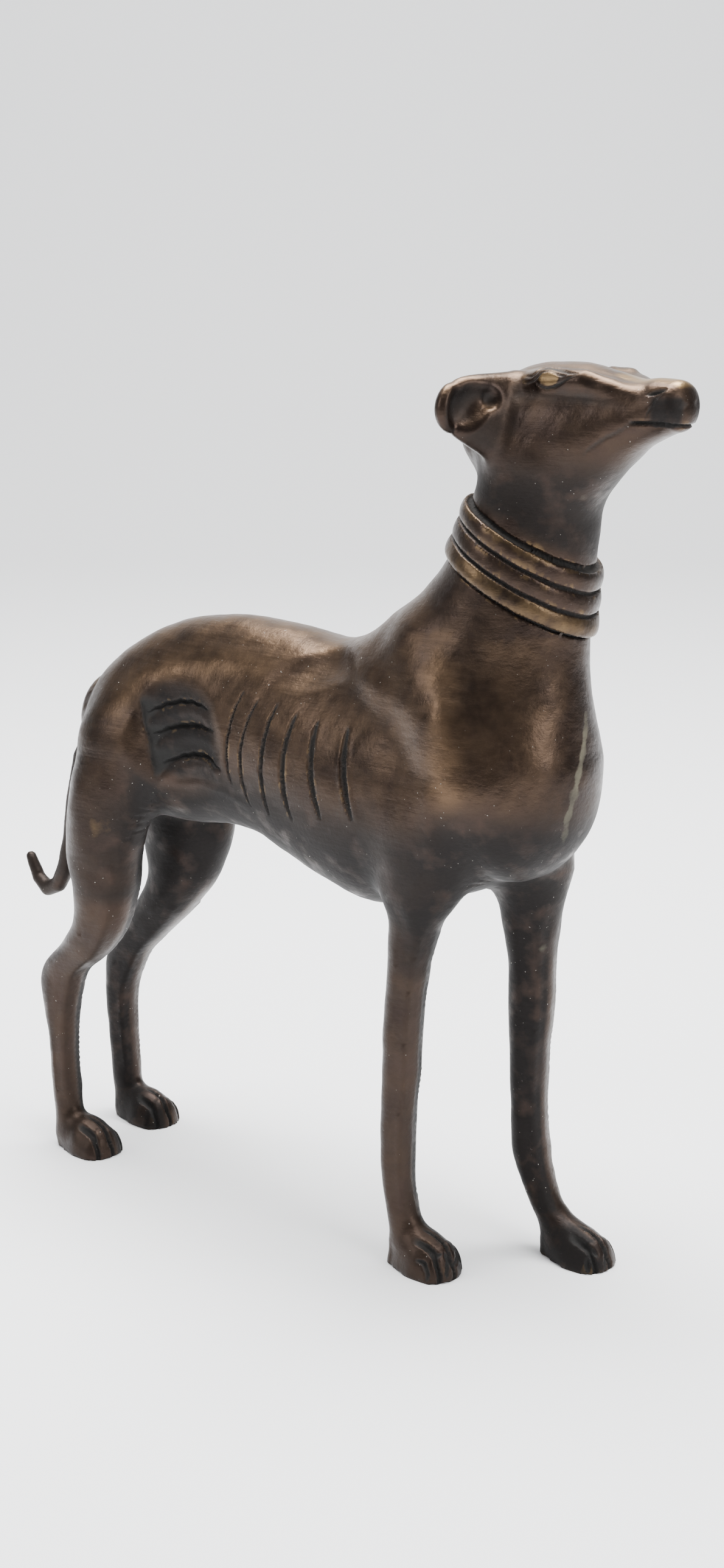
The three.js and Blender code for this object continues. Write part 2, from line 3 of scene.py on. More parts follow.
import bpy
import numpy as np
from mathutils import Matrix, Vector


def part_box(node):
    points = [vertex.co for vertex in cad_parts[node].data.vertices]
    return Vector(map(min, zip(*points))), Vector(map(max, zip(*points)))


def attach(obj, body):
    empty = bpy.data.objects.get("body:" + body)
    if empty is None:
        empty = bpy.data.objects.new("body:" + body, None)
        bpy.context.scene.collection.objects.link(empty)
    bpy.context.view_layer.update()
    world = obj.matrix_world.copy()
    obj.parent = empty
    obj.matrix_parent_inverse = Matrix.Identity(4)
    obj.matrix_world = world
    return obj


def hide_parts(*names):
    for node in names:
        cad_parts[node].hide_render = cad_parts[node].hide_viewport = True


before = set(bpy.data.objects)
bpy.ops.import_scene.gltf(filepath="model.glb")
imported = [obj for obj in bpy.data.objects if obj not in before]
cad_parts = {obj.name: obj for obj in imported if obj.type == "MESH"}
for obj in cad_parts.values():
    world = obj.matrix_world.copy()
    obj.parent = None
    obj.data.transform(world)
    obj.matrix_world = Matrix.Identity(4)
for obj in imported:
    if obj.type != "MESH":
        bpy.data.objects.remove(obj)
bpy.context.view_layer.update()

# The camera, with a lens of about 50 mm, stands ahead of the dog and to its right, a little higher than
# its head, and looks down at it. Metres and degrees.
LENS = 49.92
SENSOR = 36.0
CAMERA_AT = (0.59043, -0.67170, 0.39465)
CAMERA_TURN = 40.195
CAMERA_DOWN = 13.0
camera_data = bpy.data.cameras.new("camera")
camera_data.lens = LENS
camera_data.sensor_width = SENSOR
camera_data.sensor_fit = "AUTO"
camera = bpy.data.objects.new("camera", camera_data)
camera.location = CAMERA_AT
camera.rotation_euler = (math.radians(90 - CAMERA_DOWN), 0, math.radians(CAMERA_TURN))
bpy.context.scene.collection.objects.link(camera)
bpy.context.scene.camera = camera


# The greyhound is one bronze casting, modelled here as a carver would build it up in wax: masses are
# drawn through stations and melted into each other, and the skin over them is chased. Millimetres, and
# heights from 5 mm under the soles. The torso runs from the haunches, by the tucked belly, to the chest.
def stations_at(rows, s):
    """The values between the stations, on smooth curves; s is an array of places."""
    rows = np.array(rows, float)
    place, values = rows[:, 0], rows[:, 1:].T
    slope = np.empty_like(values)
    slope[:, 1:-1] = (values[:, 2:] - values[:, :-2]) / (place[2:] - place[:-2])
    slope[:, 0] = (values[:, 1] - values[:, 0]) / (place[1] - place[0])
    slope[:, -1] = (values[:, -1] - values[:, -2]) / (place[-1] - place[-2])
    s = np.clip(s, place[0], place[-1])
    i = np.clip(np.searchsorted(place, s, side="right") - 1, 0, len(place) - 2)
    span = place[i + 1] - place[i]
    t = (s - place[i]) / span
    ease = t * t * (3 - 2 * t)
    start, end = values[:, i], values[:, i + 1]
    leave, arrive = slope[:, i] * span, slope[:, i + 1] * span
    return start + (end - start) * ease + leave * t * (1 - t) ** 2 - arrive * t * t * (1 - t)


def ellipsoidal(x, y, z, a, b, c):
    """Signed distance, near enough, to an ellipsoid of half sizes a, b and c."""
    inside = np.sqrt((x / a) ** 2 + (y / b) ** 2 + (z / c) ** 2) + 1e-9
    steep = np.sqrt((x / a ** 2) ** 2 + (y / b ** 2) ** 2 + (z / c ** 2) ** 2) + 1e-9
    return inside * (inside - 1) / steep


def loft(rows, along, up, cap, start=(0, 0, 0)):
    """A mass along an axis: rows of place, low edge, high edge, half width, shift, narrowing."""
    axis = np.array(along, float) / np.linalg.norm(along)
    side = np.cross(up, axis) / np.linalg.norm(np.cross(up, axis))
    rise = np.cross(axis, side)
    rows = [list(row) + [0] * (6 - len(row)) for row in rows]
    first, last = rows[0][0], rows[-1][0]

    def mass(p):
        q = p - np.array(start, float)
        s, u, v = q @ axis, q @ rise, q @ side
        low, high, half, shift, narrow = stations_at(rows, s)
        deep = (high - low) / 2
        across = u - (high + low) / 2
        wide = half * (1 - narrow * np.clip(across / deep, -1, 1))
        past = np.minimum(s - first, 0) + np.maximum(s - last, 0)
        return ellipsoidal(across, v - shift, past, deep, wide, np.where(s < first, cap[0], cap[1]))

    return mass


torso = loft([
    (-110, 190, 228, 17), (-102, 180, 236, 22), (-88, 172, 245.5, 27),
    (-69, 168, 254.4, 29.5, 0, 0.1), (-50, 168, 259.4, 29.5, 0, 0.15),
    (-28, 170, 261.8, 29, 0, 0.15), (-10, 168, 261.4, 30.5, 0, 0.12), (8, 162, 259.8, 33.5, 0, 0.08),
    (30, 154.5, 257, 37, 0, 0.05), (55, 150, 255.5, 39, 0, 0.05), (80, 156, 257, 39.5, 0, 0.05),
    (102, 163.5, 257, 38, 0, 0.05), (116, 170, 252, 36),
], along=(1, 0, 0), up=(0, 0, 1), cap=(11, 33))

# The neck rises from the shoulders, deep at its foot and slim under the head. Its places are counted
# along its own leaning axis, from inside the chest.
neck = loft([
    (0, -58, 45, 34), (18, -47, 43.4, 31), (36, -33.5, 37.8, 28), (58, -24.6, 32, 25.5),
    (82, -22, 27.8, 24), (98, -20, 25, 22),
], along=(0.292, 0, 0.956), up=(0.956, 0, -0.292), cap=(14, 14), start=(98, 0, 240))

# The collar is cast on the neck: a sleeve of three bands, tilted forward, and standing out a little
COLLAR_MIDDLE = (117, 297.6)
COLLAR_TILT = math.radians(27)
COLLAR_LEAN = 0.124
COLLAR_BAND = 8
COLLAR_BANDS = 3
COLLAR_RISE = 2.6


def along_collar(p):
    """How many bands up the collar a point lies, from 0 at the shoulders to 3 at the throat."""
    dx, dz = p[:, 0] - COLLAR_MIDDLE[0], p[:, 2] - COLLAR_MIDDLE[1]
    up = dx * math.sin(COLLAR_TILT) + dz * math.cos(COLLAR_TILT) + COLLAR_LEAN * p[:, 1]
    return up / COLLAR_BAND + COLLAR_BANDS / 2


def collar(p):
    across = 2 * along_collar(p) / COLLAR_BANDS - 1
    return COLLAR_RISE * np.sqrt(np.maximum(1 - np.clip(across, -1, 1) ** 16, 0))


# The shoulder blades and upper arms lie under the skin as rounded ridges. The left arm reaches
# further forward, as its leg does.
def limb(points):
    """A round limb through points of x, y, z and radius."""
    ends = np.array(points, float)

    def mass(p):
        nearest = np.full(len(p), np.inf)
        for a, b in zip(ends[:-1], ends[1:]):
            span = b[:3] - a[:3]
            t = np.clip((p - a[:3]) @ span / (span @ span), 0, 1)
            reach = np.linalg.norm(p - a[:3] - t[:, None] * span, axis=1)
            nearest = np.minimum(nearest, reach - a[3] - t * (b[3] - a[3]))
        return nearest

    return mass


shoulders = [
    limb([
        (86, -17, 262, 9), (106, -24, 236, 13), (113, -25, 212, 14), (90, -26, 188, 12),
        (84, -24, 168, 10),
    ]),
    limb([
        (86, 17, 262, 9), (106, 24, 236, 13), (115, 25, 212, 14), (104, 26, 188, 12),
        (105, 24, 168, 10),
    ]),
]


# The four legs are slim posts below, and widen into the forearms and thighs. The left front leg stands
# ahead of the right one, and the hocks are bent back.
def leg_of(rows):
    return loft(rows, along=(0, 0, 1), up=(1, 0, 0), cap=(5, 24))


front_legs = [
    leg_of([
        (16, 75, 92.5, 7, 24), (24, 73.8, 88.8, 6.6, 24), (32, 72, 85.7, 6.4, 24),
        (42, 70.4, 84, 6.4, 24), (64, 69.8, 84, 6.8, 24), (85, 70.8, 86, 7.2, 24),
        (106, 71.2, 87.2, 7.6, 24), (127, 73, 89.6, 7.8, 24), (148, 73.8, 94.5, 9.3, 23.5),
        (165, 74, 105, 12, 23), (185, 74, 112, 14, 22),
    ]),
    leg_of([
        (13, 118, 138, 7.4, -24), (20, 114.5, 132, 7.2, -24), (27, 110.5, 124.5, 6.8, -24),
        (37, 105.2, 120, 6.8, -24), (47, 101.5, 117.6, 7.2, -24), (68, 100.5, 115.6, 7.2, -24),
        (89, 99.4, 116, 7.8, -24), (110, 98.6, 117.9, 8.6, -24), (131, 98, 118.4, 9.2, -24),
        (148, 95, 120.5, 11, -23.5), (170, 92, 127, 14.5, -22),
    ]),
]
hind_legs = [
    leg_of([
        (12, -129.5, -113, 7.5, 22), (23, -130.6, -117, 6.6, 22), (47, -132.6, -119.8, 6.4, 22),
        (59, -133.2, -119.3, 6.8, 22), (71, -135.3, -118.2, 7.4, 22), (83, -137.3, -115, 8.2, 22),
        (92, -134.4, -110.5, 8.8, 22), (104, -122.6, -95.6, 10, 22), (118, -112, -85, 12, 22),
        (135, -110.5, -79.5, 14, 22), (147, -113.5, -77.5, 15, 22), (159, -114, -74.5, 16, 21.5),
        (180, -112, -67, 17, 20), (198, -109, -61, 16, 18),
    ]),
    leg_of([
        (10, -135.5, -119.5, 7.5, -22), (21, -137.4, -123, 6.8, -22), (45, -139.3, -125.7, 6.8, -22),
        (58, -140.4, -126.2, 7, -22), (70, -140.6, -124.8, 7.6, -22), (83, -139.8, -119.2, 8.2, -22),
        (91, -136, -113.7, 8.8, -22), (105, -125.6, -98.4, 10.5, -22), (119, -114.4, -83, 13, -22),
        (132, -108, -71.5, 14, -22), (145, -110, -64.5, 15, -22), (157, -112, -60, 16, -21.5),
        (180, -112, -58, 17, -20), (198, -109, -56, 16, -18),
    ]),
]


# The paws are long and low, and rounded in front. Each is drawn from its own place on the ground, which
# stands beside it here.
def paw_of(rise, cap, halves):
    return loft([
        (6, -10, 17, halves[0]), (12, -10, 20 + rise / 2, halves[1]),
        (19, -10, 19.6 + rise, halves[2]), (26.5, -10, 16.8 + rise, halves[3]),
    ], along=(1, 0, 0), up=(0, 0, 1), cap=cap)


FRONT_HALVES = (6.6, 9.2, 11.4, 11.2)
HIND_HALVES = (7.2, 9.4, 11.2, 11.2)
paws = [
    (paw_of(3, (5, 8), FRONT_HALVES), (73, -24)),
    (paw_of(0.6, (5, 8), FRONT_HALVES), (116, 24)),
    (paw_of(1.6, (5, 8), HIND_HALVES), (-129, -22)),
    (paw_of(1, (5, 8), HIND_HALVES), (-135.4, 22)),
]

# The tail is one thin rod, that hangs down from the croup and turns up at its end
tail = limb([
    (-112, 0, 214, 6), (-122, 0, 202, 5), (-131, 0, 186, 4.8), (-137, 0, 166, 4.5),
    (-141, 0, 146, 4.2), (-145.5, 0, 131, 4), (-151, 0, 121.5, 3.8), (-158.5, 0, 118, 3.6),
    (-165, 0, 122.5, 3.2), (-170, 0, 132, 2.3),
])

# The head is a long wedge, turned a little to the right, with a heavy brow over each eye. The ears are
# flat leaves held out to the sides, and hollowed in front.
HEAD_AT = (126.0, 0.0)
HEAD_TURN = math.radians(8)
head = loft([
    (-20, 328, 361, 19), (-10, 322, 367.4, 22.5, 0, 0.04), (2, 318, 371, 23, 0, 0.06),
    (14, 318, 371.4, 21.5, 0, 0.05), (26, 322, 370.8, 18.8, 0, 0.06), (38, 332, 368.4, 15, 0, 0.08),
    (48, 340, 366.4, 12, 0, 0.08), (58, 345, 366.9, 10, 0, 0.04), (65.5, 348, 366.4, 9.2),
], along=(1, 0, 0), up=(0, 0, 1), cap=(13, 6))
brow = limb([
    (4, 12, 362.5, 4.6), (16, 13.6, 365, 5.2), (32, 12.4, 365, 4.4), (50, 6.5, 360.2, 3.4),
])
ear = loft([
    (14, 328, 368, 8, 2), (22, 334, 367.5, 7.4, 3), (30, 339, 367, 6.6, 4.5),
    (37, 343.5, 366, 5.8, 6.3), (40, 346, 364.5, 5.2, 7.2),
], along=(0, 1, 0), up=(0, 0, 1), cap=(6, 7.6))
ear_cup = loft([
    (29.5, 355, 361.8, 3.6, -0.6), (35, 349, 363, 5.4, 0.6), (40, 346.5, 361.8, 5, 2.2),
], along=(0, 1, 0), up=(0, 0, 1), cap=(3.5, 4.2))


def into_head(p):
    """The head's own frame: along it, out to either side of its middle, and up."""
    hx, hy = p[:, 0] - HEAD_AT[0], p[:, 1] - HEAD_AT[1]
    along = hx * math.cos(HEAD_TURN) - hy * math.sin(HEAD_TURN)
    out = np.abs(hx * math.sin(HEAD_TURN) + hy * math.cos(HEAD_TURN))
    return np.stack([along, out, p[:, 2]], axis=1)


def join(a, b, fillet):
    """Two masses melted into one, with a fillet between them."""
    return np.minimum(a, b) - np.maximum(fillet - np.abs(a - b), 0) ** 2 / (4 * fillet)


def head_mass(p):
    q = into_head(p)
    face = join(head(q), brow(q), fillet=3.5)
    cupped = -join(-ear(q), ear_cup(q), fillet=3.6)
    return join(face, cupped, fillet=4)


# The masses put together, with the hindquarters a little forward and to the right of the straight
# dog, and the soles cut flat
SOLES = 5.0
HIND_SWING = (3.2, -3.7, 0)
FLANK_HOLLOW = 6
BACK_DIP = 2.6


def smooth(a, b, x):
    """0 up to one value and 1 from the other, and an even curve between them."""
    t = np.clip((x - a) / (b - a), 0, 1)
    return t * t * (3 - 2 * t)


def bowl(x):
    """The depth across a rounded cut: 1 in its middle and 0 at its edges."""
    return np.maximum(1 - x * x, 0)


def broad_hollows(p):
    """The hollow of the flank before the haunch, and the dip of the back behind the withers."""
    x, z = p[:, 0], p[:, 2]
    flank = np.hypot((x + 42) / 29, (z - 209) / 29)
    dip = np.hypot((x - 33) / 26, (z - 247 - 0.25 * (x - 33)) / 9)
    out = np.abs(p[:, 1])
    hollow = FLANK_HOLLOW * bowl(flank) ** 1.5 * smooth(10, 16, out)
    return hollow + BACK_DIP * bowl(dip) ** 1.5 * smooth(4, 20, out)


def unswung(p):
    """Brings points on the cast dog back to the straight dog."""
    swing = smooth(40, -110, p[:, 0])
    return p - swing[:, None] * np.array(HIND_SWING)


def figure(at):
    """The form before it is chased: below zero inside the bronze."""
    p = unswung(at)
    x, z = p[:, 0], p[:, 2]
    d = torso(p)

    def meld(where, mass, fillet):
        there = np.nonzero(where)[0]
        if len(there):
            d[there] = join(d[there], mass(p[there]), fillet)

    meld(x > 20, lambda q: neck(q) - collar(q), fillet=16)
    for shoulder in shoulders:
        meld(x > 20, shoulder, fillet=14)
    meld(z > 300, head_mass, fillet=9)
    for leg in front_legs:
        meld((z < 245) & (x > 0), leg, fillet=9)
    for leg in hind_legs:
        meld((z < 245) & (x <= 0), leg, fillet=9)
    for paw, place in paws:
        meld(z < 45, lambda q: paw(q - np.array([place[0], place[1], 0])), fillet=5)
    meld(x < -85, tail, fillet=6)
    d += broad_hollows(p)
    return np.maximum(d, SOLES - z)


# The chasing: every cut is drawn as a line on the straight dog, seen from its side where it has two
# numbers to a point
def off_line(points, q):
    """How far points lie from a drawn line, and where along it, from 0 to 1, they are nearest."""
    ends = np.array(points, float)
    spans = np.linalg.norm(np.diff(ends, axis=0), axis=1)
    begun = np.concatenate([[0], np.cumsum(spans)])
    nearest, along = np.full(len(q), np.inf), np.zeros(len(q))
    for a, b, start, span in zip(ends[:-1], ends[1:], begun, spans):
        t = np.clip((q - a) @ (b - a) / span ** 2, 0, 1)
        off = np.linalg.norm(q - a - t[:, None] * (b - a), axis=1)
        along = np.where(off < nearest, (start + t * span) / begun[-1], along)
        nearest = np.minimum(nearest, off)
    return nearest, along


def groove(q, where, points, half, depth):
    """A cut along a drawn line: widest in its middle, running out to a point at both ends."""
    cut = np.zeros(len(q))
    near = np.nonzero(where)[0]
    if len(near):
        off, along = off_line(points, q[near])
        swell = np.sqrt(np.sin(np.pi * np.clip(along, 0.01, 0.99)))
        cut[near] = depth * swell * bowl(np.minimum(off / (half * (0.3 + 0.7 * swell)), 1))
    return cut


def swelling(q, where, points, half, rise):
    """A soft ridge along a drawn line, fading out sideways and at both ends."""
    raised = np.zeros(len(q))
    near = np.nonzero(where)[0]
    if len(near):
        off, along = off_line(points, q[near])
        raised[near] = -rise * np.exp(-(off / half) ** 2) * np.sin(np.pi * np.clip(along, 0, 1)) ** 0.5
    return raised


# The ribs are six slim cuts down each side, made in the cast bronze with one pass of a gouge, each with
# a faint lip. Given as the cut's top, its bottom, its bend and its half width.
RIB_DEPTH = 1.9
RIB_LIP = 0.4
RIB_LIP_HALF = 0.8
RIBS = (
    ((-3.5, 235.5), (-8.6, 194.8), -4.1, 0.8), ((6.1, 233.0), (1.6, 187.2), -5.3, 1.0),
    ((18.0, 233.3), (14.7, 185.3), -4.0, 1.35), ((30.0, 230.6), (30.2, 186.6), -4.2, 1.55),
    ((42.3, 229.5), (48.2, 190.6), -2.7, 1.55), ((58.6, 228.9), (65.6, 193.0), -1.5, 1.5),
)


def rib_cuts(p):
    x, z = p[:, 0], p[:, 2]
    depth = np.zeros(len(p))
    for top, bottom, bend, half in RIBS:
        t = (top[1] - z) / (top[1] - bottom[1])
        off = x - top[0] - t * (bottom[0] - top[0]) - 4 * t * (1 - t) * bend
        off = off + 0.06 * np.sin(z * 0.9 + top[0])
        swell = np.sqrt(np.sin(np.pi * np.clip(t, 0, 1)))
        wide = half * (0.25 + 0.75 * swell)
        depth = np.maximum(depth, RIB_DEPTH * swell * np.maximum(1 - np.abs(off / wide) ** 2.4, 0))
        depth -= RIB_LIP * np.exp(-((np.abs(off) - half - 1.0) / RIB_LIP_HALF) ** 2) * swell
    return depth


# The flank before the haunch is cut into three slack folds: a groove with a thin lip under it, and the
# skin bulging below. The haunch stands over them with a sharp edge, and a web runs to the belly.
FOLD_DEPTH = 2.4
FOLD_HALF = 1.15
FOLD_BOW = 0.0115
FOLD_LIP = 0.5
FOLD_LIP_HALF = 0.7
FOLD_LIP_BELOW = 1.9
FOLD_GROOVES = (
    ((-60.7, 219.6), (-52, 223.6), (-43, 225.9), (-35.7, 226.5), (-25, 224.8)),
    ((-57.6, 210.6), (-47, 214.6), (-36.4, 216.5), (-29.2, 216.8), (-20.7, 216.1)),
    ((-53.5, 198), (-41.9, 202.5), (-33, 204.2), (-25.8, 204.3), (-15.1, 200.5)),
)
FOLD_BULGES = ((-36, 226.6), (-32, 216.8), (-28, 204.2))
HAUNCH_STEP = 1.5
HAUNCH_EDGE = ((-57.6, 194.3), (-59.1, 200.1), (-59.5, 206), (-62.3, 214.7), (-63.7, 221.9), (-64.3, 224))
WEB_EDGE = ((-52.3, 191), (-44.9, 189.6), (-31.7, 191.4), (-16, 191.2), (-8, 188.7), (0.2, 185.7))
HOLLOW = HAUNCH_EDGE + (
    (-60.4, 229.4), (-53.4, 233), (-41.8, 233.4), (-29.8, 230.6), (-23.4, 226.5), (-20.6, 218.3),
    (-17.9, 208.7), (-13.3, 200.8), (-12, 193.5), (-31.7, 193), (-45, 192),
)


def fold_cuts(p):
    x, z = p[:, 0], p[:, 2]
    side = p[:, [0, 2]]
    near = (x > -72) & (x < 6) & (z > 180) & (z < 240)
    wander = side + 0.2 * np.sin(x[:, None] * np.array([1.3, 0.9]))
    depth = np.zeros(len(p))
    for line in FOLD_GROOVES:
        depth = np.maximum(depth, groove(wander, near, line, FOLD_HALF, FOLD_DEPTH))
        depth += swelling(wander + np.array([0, FOLD_LIP_BELOW]), near, line, FOLD_LIP_HALF, FOLD_LIP)
    for middle, top in FOLD_BULGES:
        above = z - top + FOLD_BOW * (x - middle) ** 2
        within = smooth(21, 16, np.abs(x - middle + 7))
        depth -= within * 0.5 * FOLD_DEPTH * np.exp(-((above + 5) / 3.2) ** 2)
    edge_x, edge_z = np.array(HAUNCH_EDGE).T
    past = x - np.interp(z, edge_z, edge_x)
    step = smooth(-0.5, 0.6, past) * np.exp(-np.maximum(past, 0) / 9)
    depth += np.where(near, HAUNCH_STEP * step * smooth(190, 197, z) * smooth(228, 219, z), 0)
    return depth + swelling(side, near, WEB_EDGE, 1.6, 0.6)


# Short strokes of the chisel cross the front of the thigh and the armpit. Broad soft ridges along the
# loin, the shoulder, the upper foreleg and the thigh catch the light. Each line has its strokes, half
# width or rise beside it.
STROKE_DEPTH = 0.45
STROKES = (
    (((-60.1, 183), (-68.5, 173.9), (-71.6, 168.3), (-75, 157.7)), 8, 3.4),
    (((117.5, 174), (110.5, 167.6), (106.6, 161.8), (104, 154)), 6, 5.0),
)
LOIN_RIDGE = (
    ((-78, 222), (-71, 233.8), (-55.6, 238.5), (-40.3, 242.1), (-19.7, 245.4), (2.5, 245.4)), 4.0, 0.7,
)
SHOULDER_RIDGE = (((103, 257), (107, 246), (112, 229.4), (113, 214)), 5.0, 0.7)
FORELEG_RIDGE = (((90, 136), (91, 161.6), (104.6, 187), (106, 216)), 3.0, 0.9)
THIGH_RIDGE = (((-84, 214), (-96, 196), (-98, 172), (-90, 146)), 7.0, 0.8)
SHOULDER_HOLLOW = ((82, 200), (84, 217), (86, 232), (78, 250))


def side_cuts(p):
    side = p[:, [0, 2]]
    high = p[:, 2] > 130
    depth = np.zeros(len(p))
    for line, strokes, half in STROKES:
        off, along = off_line(line, side)
        stroke = np.maximum(np.sin(2 * np.pi * (strokes * along + off * 0.06)), 0) ** 2
        stroke = STROKE_DEPTH * stroke * bowl(np.minimum(off / half, 1))
        depth += stroke * smooth(0, 0.06, along) * smooth(1, 0.94, along)
    for line, half, rise in (LOIN_RIDGE, SHOULDER_RIDGE, FORELEG_RIDGE, THIGH_RIDGE):
        depth += swelling(side, high, line, half, rise)
    return depth - swelling(side, high, SHOULDER_HOLLOW, 8.0, 0.5)


# The paws have a cut between each pair of toes, and gouges of the chisel over the knuckles. A gouge's
# points are given from the paw's own place.
TOE_DEPTH = 2.2
TOE_HALF = 1.2
TOE_SPREAD = 6.4
GOUGE_DEPTH = 1.5
GOUGE_HALF = 1.3
RIGHT_GOUGES = (
    ((24.3, -6, 18.4), (26.7, -6.5, 17), (28.9, -6.9, 15.8), (30.6, -4, 16.6)),
    ((30.9, -2.5, 16.8), (32.9, -2.4, 13.4), (33.6, -4.2, 9), (33.9, -4.1, 7)),
    ((31, 6.5, 13.6), (32.9, 5.2, 10.7)), ((31, 4.5, 15.7), (32.6, 4, 13), (34, -0.2, 10.3)),
    ((22, -10.1, 13.5), (25.6, -9.5, 13.1), (28.6, -10.4, 9), (28.3, -10.9, 6.4)),
)
LEFT_GOUGES = (
    ((28.9, -8.6, 11.5), (29.7, -9.4, 8.7), (30.2, -9.8, 6)),
    ((31.5, 1.1, 14.2), (33.4, -1.5, 10.4), (34.1, -2.9, 6)),
    ((25, -5.4, 16.3), (27.9, -6.3, 14.8), (30.1, -5.6, 13.8), (31.6, -5.5, 11.9)),
)
HIND_GOUGES = (
    ((24, -7.4, 18.5), (29, -6.6, 15), (31.5, -6, 9)), ((25, 1.2, 19), (30.5, 0.6, 14), (32, 0.2, 8)),
    ((24, 7.6, 17.5), (29, 7.2, 14), (31, 6.6, 9)),
)


def toe_cuts(p):
    depth = np.zeros(len(p))
    for (_, place), gouges in zip(paws, (RIGHT_GOUGES, LEFT_GOUGES, HIND_GOUGES, HIND_GOUGES)):
        q = p - np.array([place[0], place[1], 0])
        near = (q[:, 2] < SOLES + 22) & (np.abs(q[:, 1]) < 16) & (np.abs(q[:, 0] - 18) < 24)
        for side in (-1, 0, 1):
            wander = 0.5 * np.sin(q[:, 0] * 0.45 + side) + 0.3 * np.sin(q[:, 2] * 0.6)
            off = np.abs(q[:, 1] + wander - side * TOE_SPREAD * (0.75 + q[:, 0] / 90))
            cut = np.maximum(1 - (off / TOE_HALF) ** 2, 0) * smooth(17, 26, q[:, 0])
            depth = np.maximum(depth, np.where(near, TOE_DEPTH * cut, 0))
        for line in gouges:
            depth = np.maximum(depth, groove(q, near, line, GOUGE_HALF, GOUGE_DEPTH))
    return depth


# The collar's three bands are rounded, and a thin seam is cut above, between and below them
SEAM_DEPTH = 1.35
SEAM_HALF = 0.85
BAND_ROUNDING = 0.8


def collar_cuts(p):
    x, y, z = p.T
    along = along_collar(p) + 0.02 * np.sin(x * 0.35) * np.cos(y * 0.3)
    seam = np.clip(np.round(along), 0, COLLAR_BANDS)
    off = np.abs(along - seam) * COLLAR_BAND
    on = (along > -0.4) & (along < COLLAR_BANDS + 0.4) & (x > 60) & (z > 250) & (z < 340)
    within = (along > 0) & (along < COLLAR_BANDS)
    rounding = BAND_ROUNDING * bowl(np.minimum(2 * off / COLLAR_BAND - 1, 1)) * within
    return np.where(on, SEAM_DEPTH * bowl(np.minimum(off / SEAM_HALF, 1)) - rounding, 0)


# The face is drawn with the chisel: a straight mouth, leaf-shaped nostrils, the edge of the nose, the
# crease of the jaw, and eyes with two lids and two lines of brow over a smooth ball. Points are along
# the head and up, and each line has its half width and depth.
EYE_BALL = (19.5, 365.9)
EYE_BALL_HALF = (5.4, 2.7)
EYE_BALL_RISE = 1.1
EYE_SOCKET = 1.4
EYE_SOCKET_DEPTH = 0.3
BROW_LINE = (((3.9, 370.2), (9.6, 371.2), (14.4, 370.3), (24.7, 369.8), (29, 369.6)), 0.5, 0.4)
UPPER_LID = ((
    (5.9, 366.2), (10.5, 366.3), (12.8, 367.9), (13.3, 369.4), (17, 369.8), (19.5, 369.9), (23.3, 369.1),
    (27.7, 368.1), (31.6, 368),
), 0.7, 0.9)
REAR_LINE = (
    ((6.5, 364.3), (8.9, 364), (11.9, 364.8), (14.7, 366.8), (16.2, 368.5), (19.7, 368.8)), 0.5, 0.6,
)
LOWER_LID = ((
    (13.6, 364.3), (15.9, 362.9), (18.4, 362.4), (21.4, 362.8), (24.6, 364.1), (27, 365.5), (29, 366.7),
    (31.7, 368),
), 0.55, 0.8)
LID_FOLD = (((19.9, 368.6), (22.9, 367.5), (25.9, 367.1), (28.5, 367.6)), 0.45, 0.4)
NOSE_EDGE = (((64.9, 362.4), (62.2, 360.1), (61.3, 357.8), (59.2, 355), (58.5, 352.9)), 0.55, 0.6)
NOSE_NOTCH = (((70.6, 359.5), (71, 358.3), (70.4, 356.4)), 0.6, 0.4)
JAW_CREASE = (
    ((54, 351.6), (50.1, 349.5), (47.5, 348), (42.5, 345.5), (37.4, 342.1), (34, 339.2)), 0.9, 0.35,
)
MOUTH_DEPTH = 1.5
MOUTH_HALF = 0.8
NOSTRIL = (61.6, 362.3)
NOSTRIL_HALF = (4.2, 1.05)
NOSTRIL_DEPTH = 1.4
EAR_FOLD = ((-2, 29.8, 360.9), (-3.5, 30.8, 356.3), (-3.7, 34.2, 351.1), (-3.9, 38.6, 347.4))
EAR_FOLD_HALF = 1.8
EAR_FOLD_RISE = 0.5


def eye_place(q):
    """How far a point lies from the middle of the eyeball, in half sizes of the ball."""
    along = (q[:, 0] - EYE_BALL[0]) / EYE_BALL_HALF[0]
    return np.hypot(along, (q[:, 2] - EYE_BALL[1]) / EYE_BALL_HALF[1])


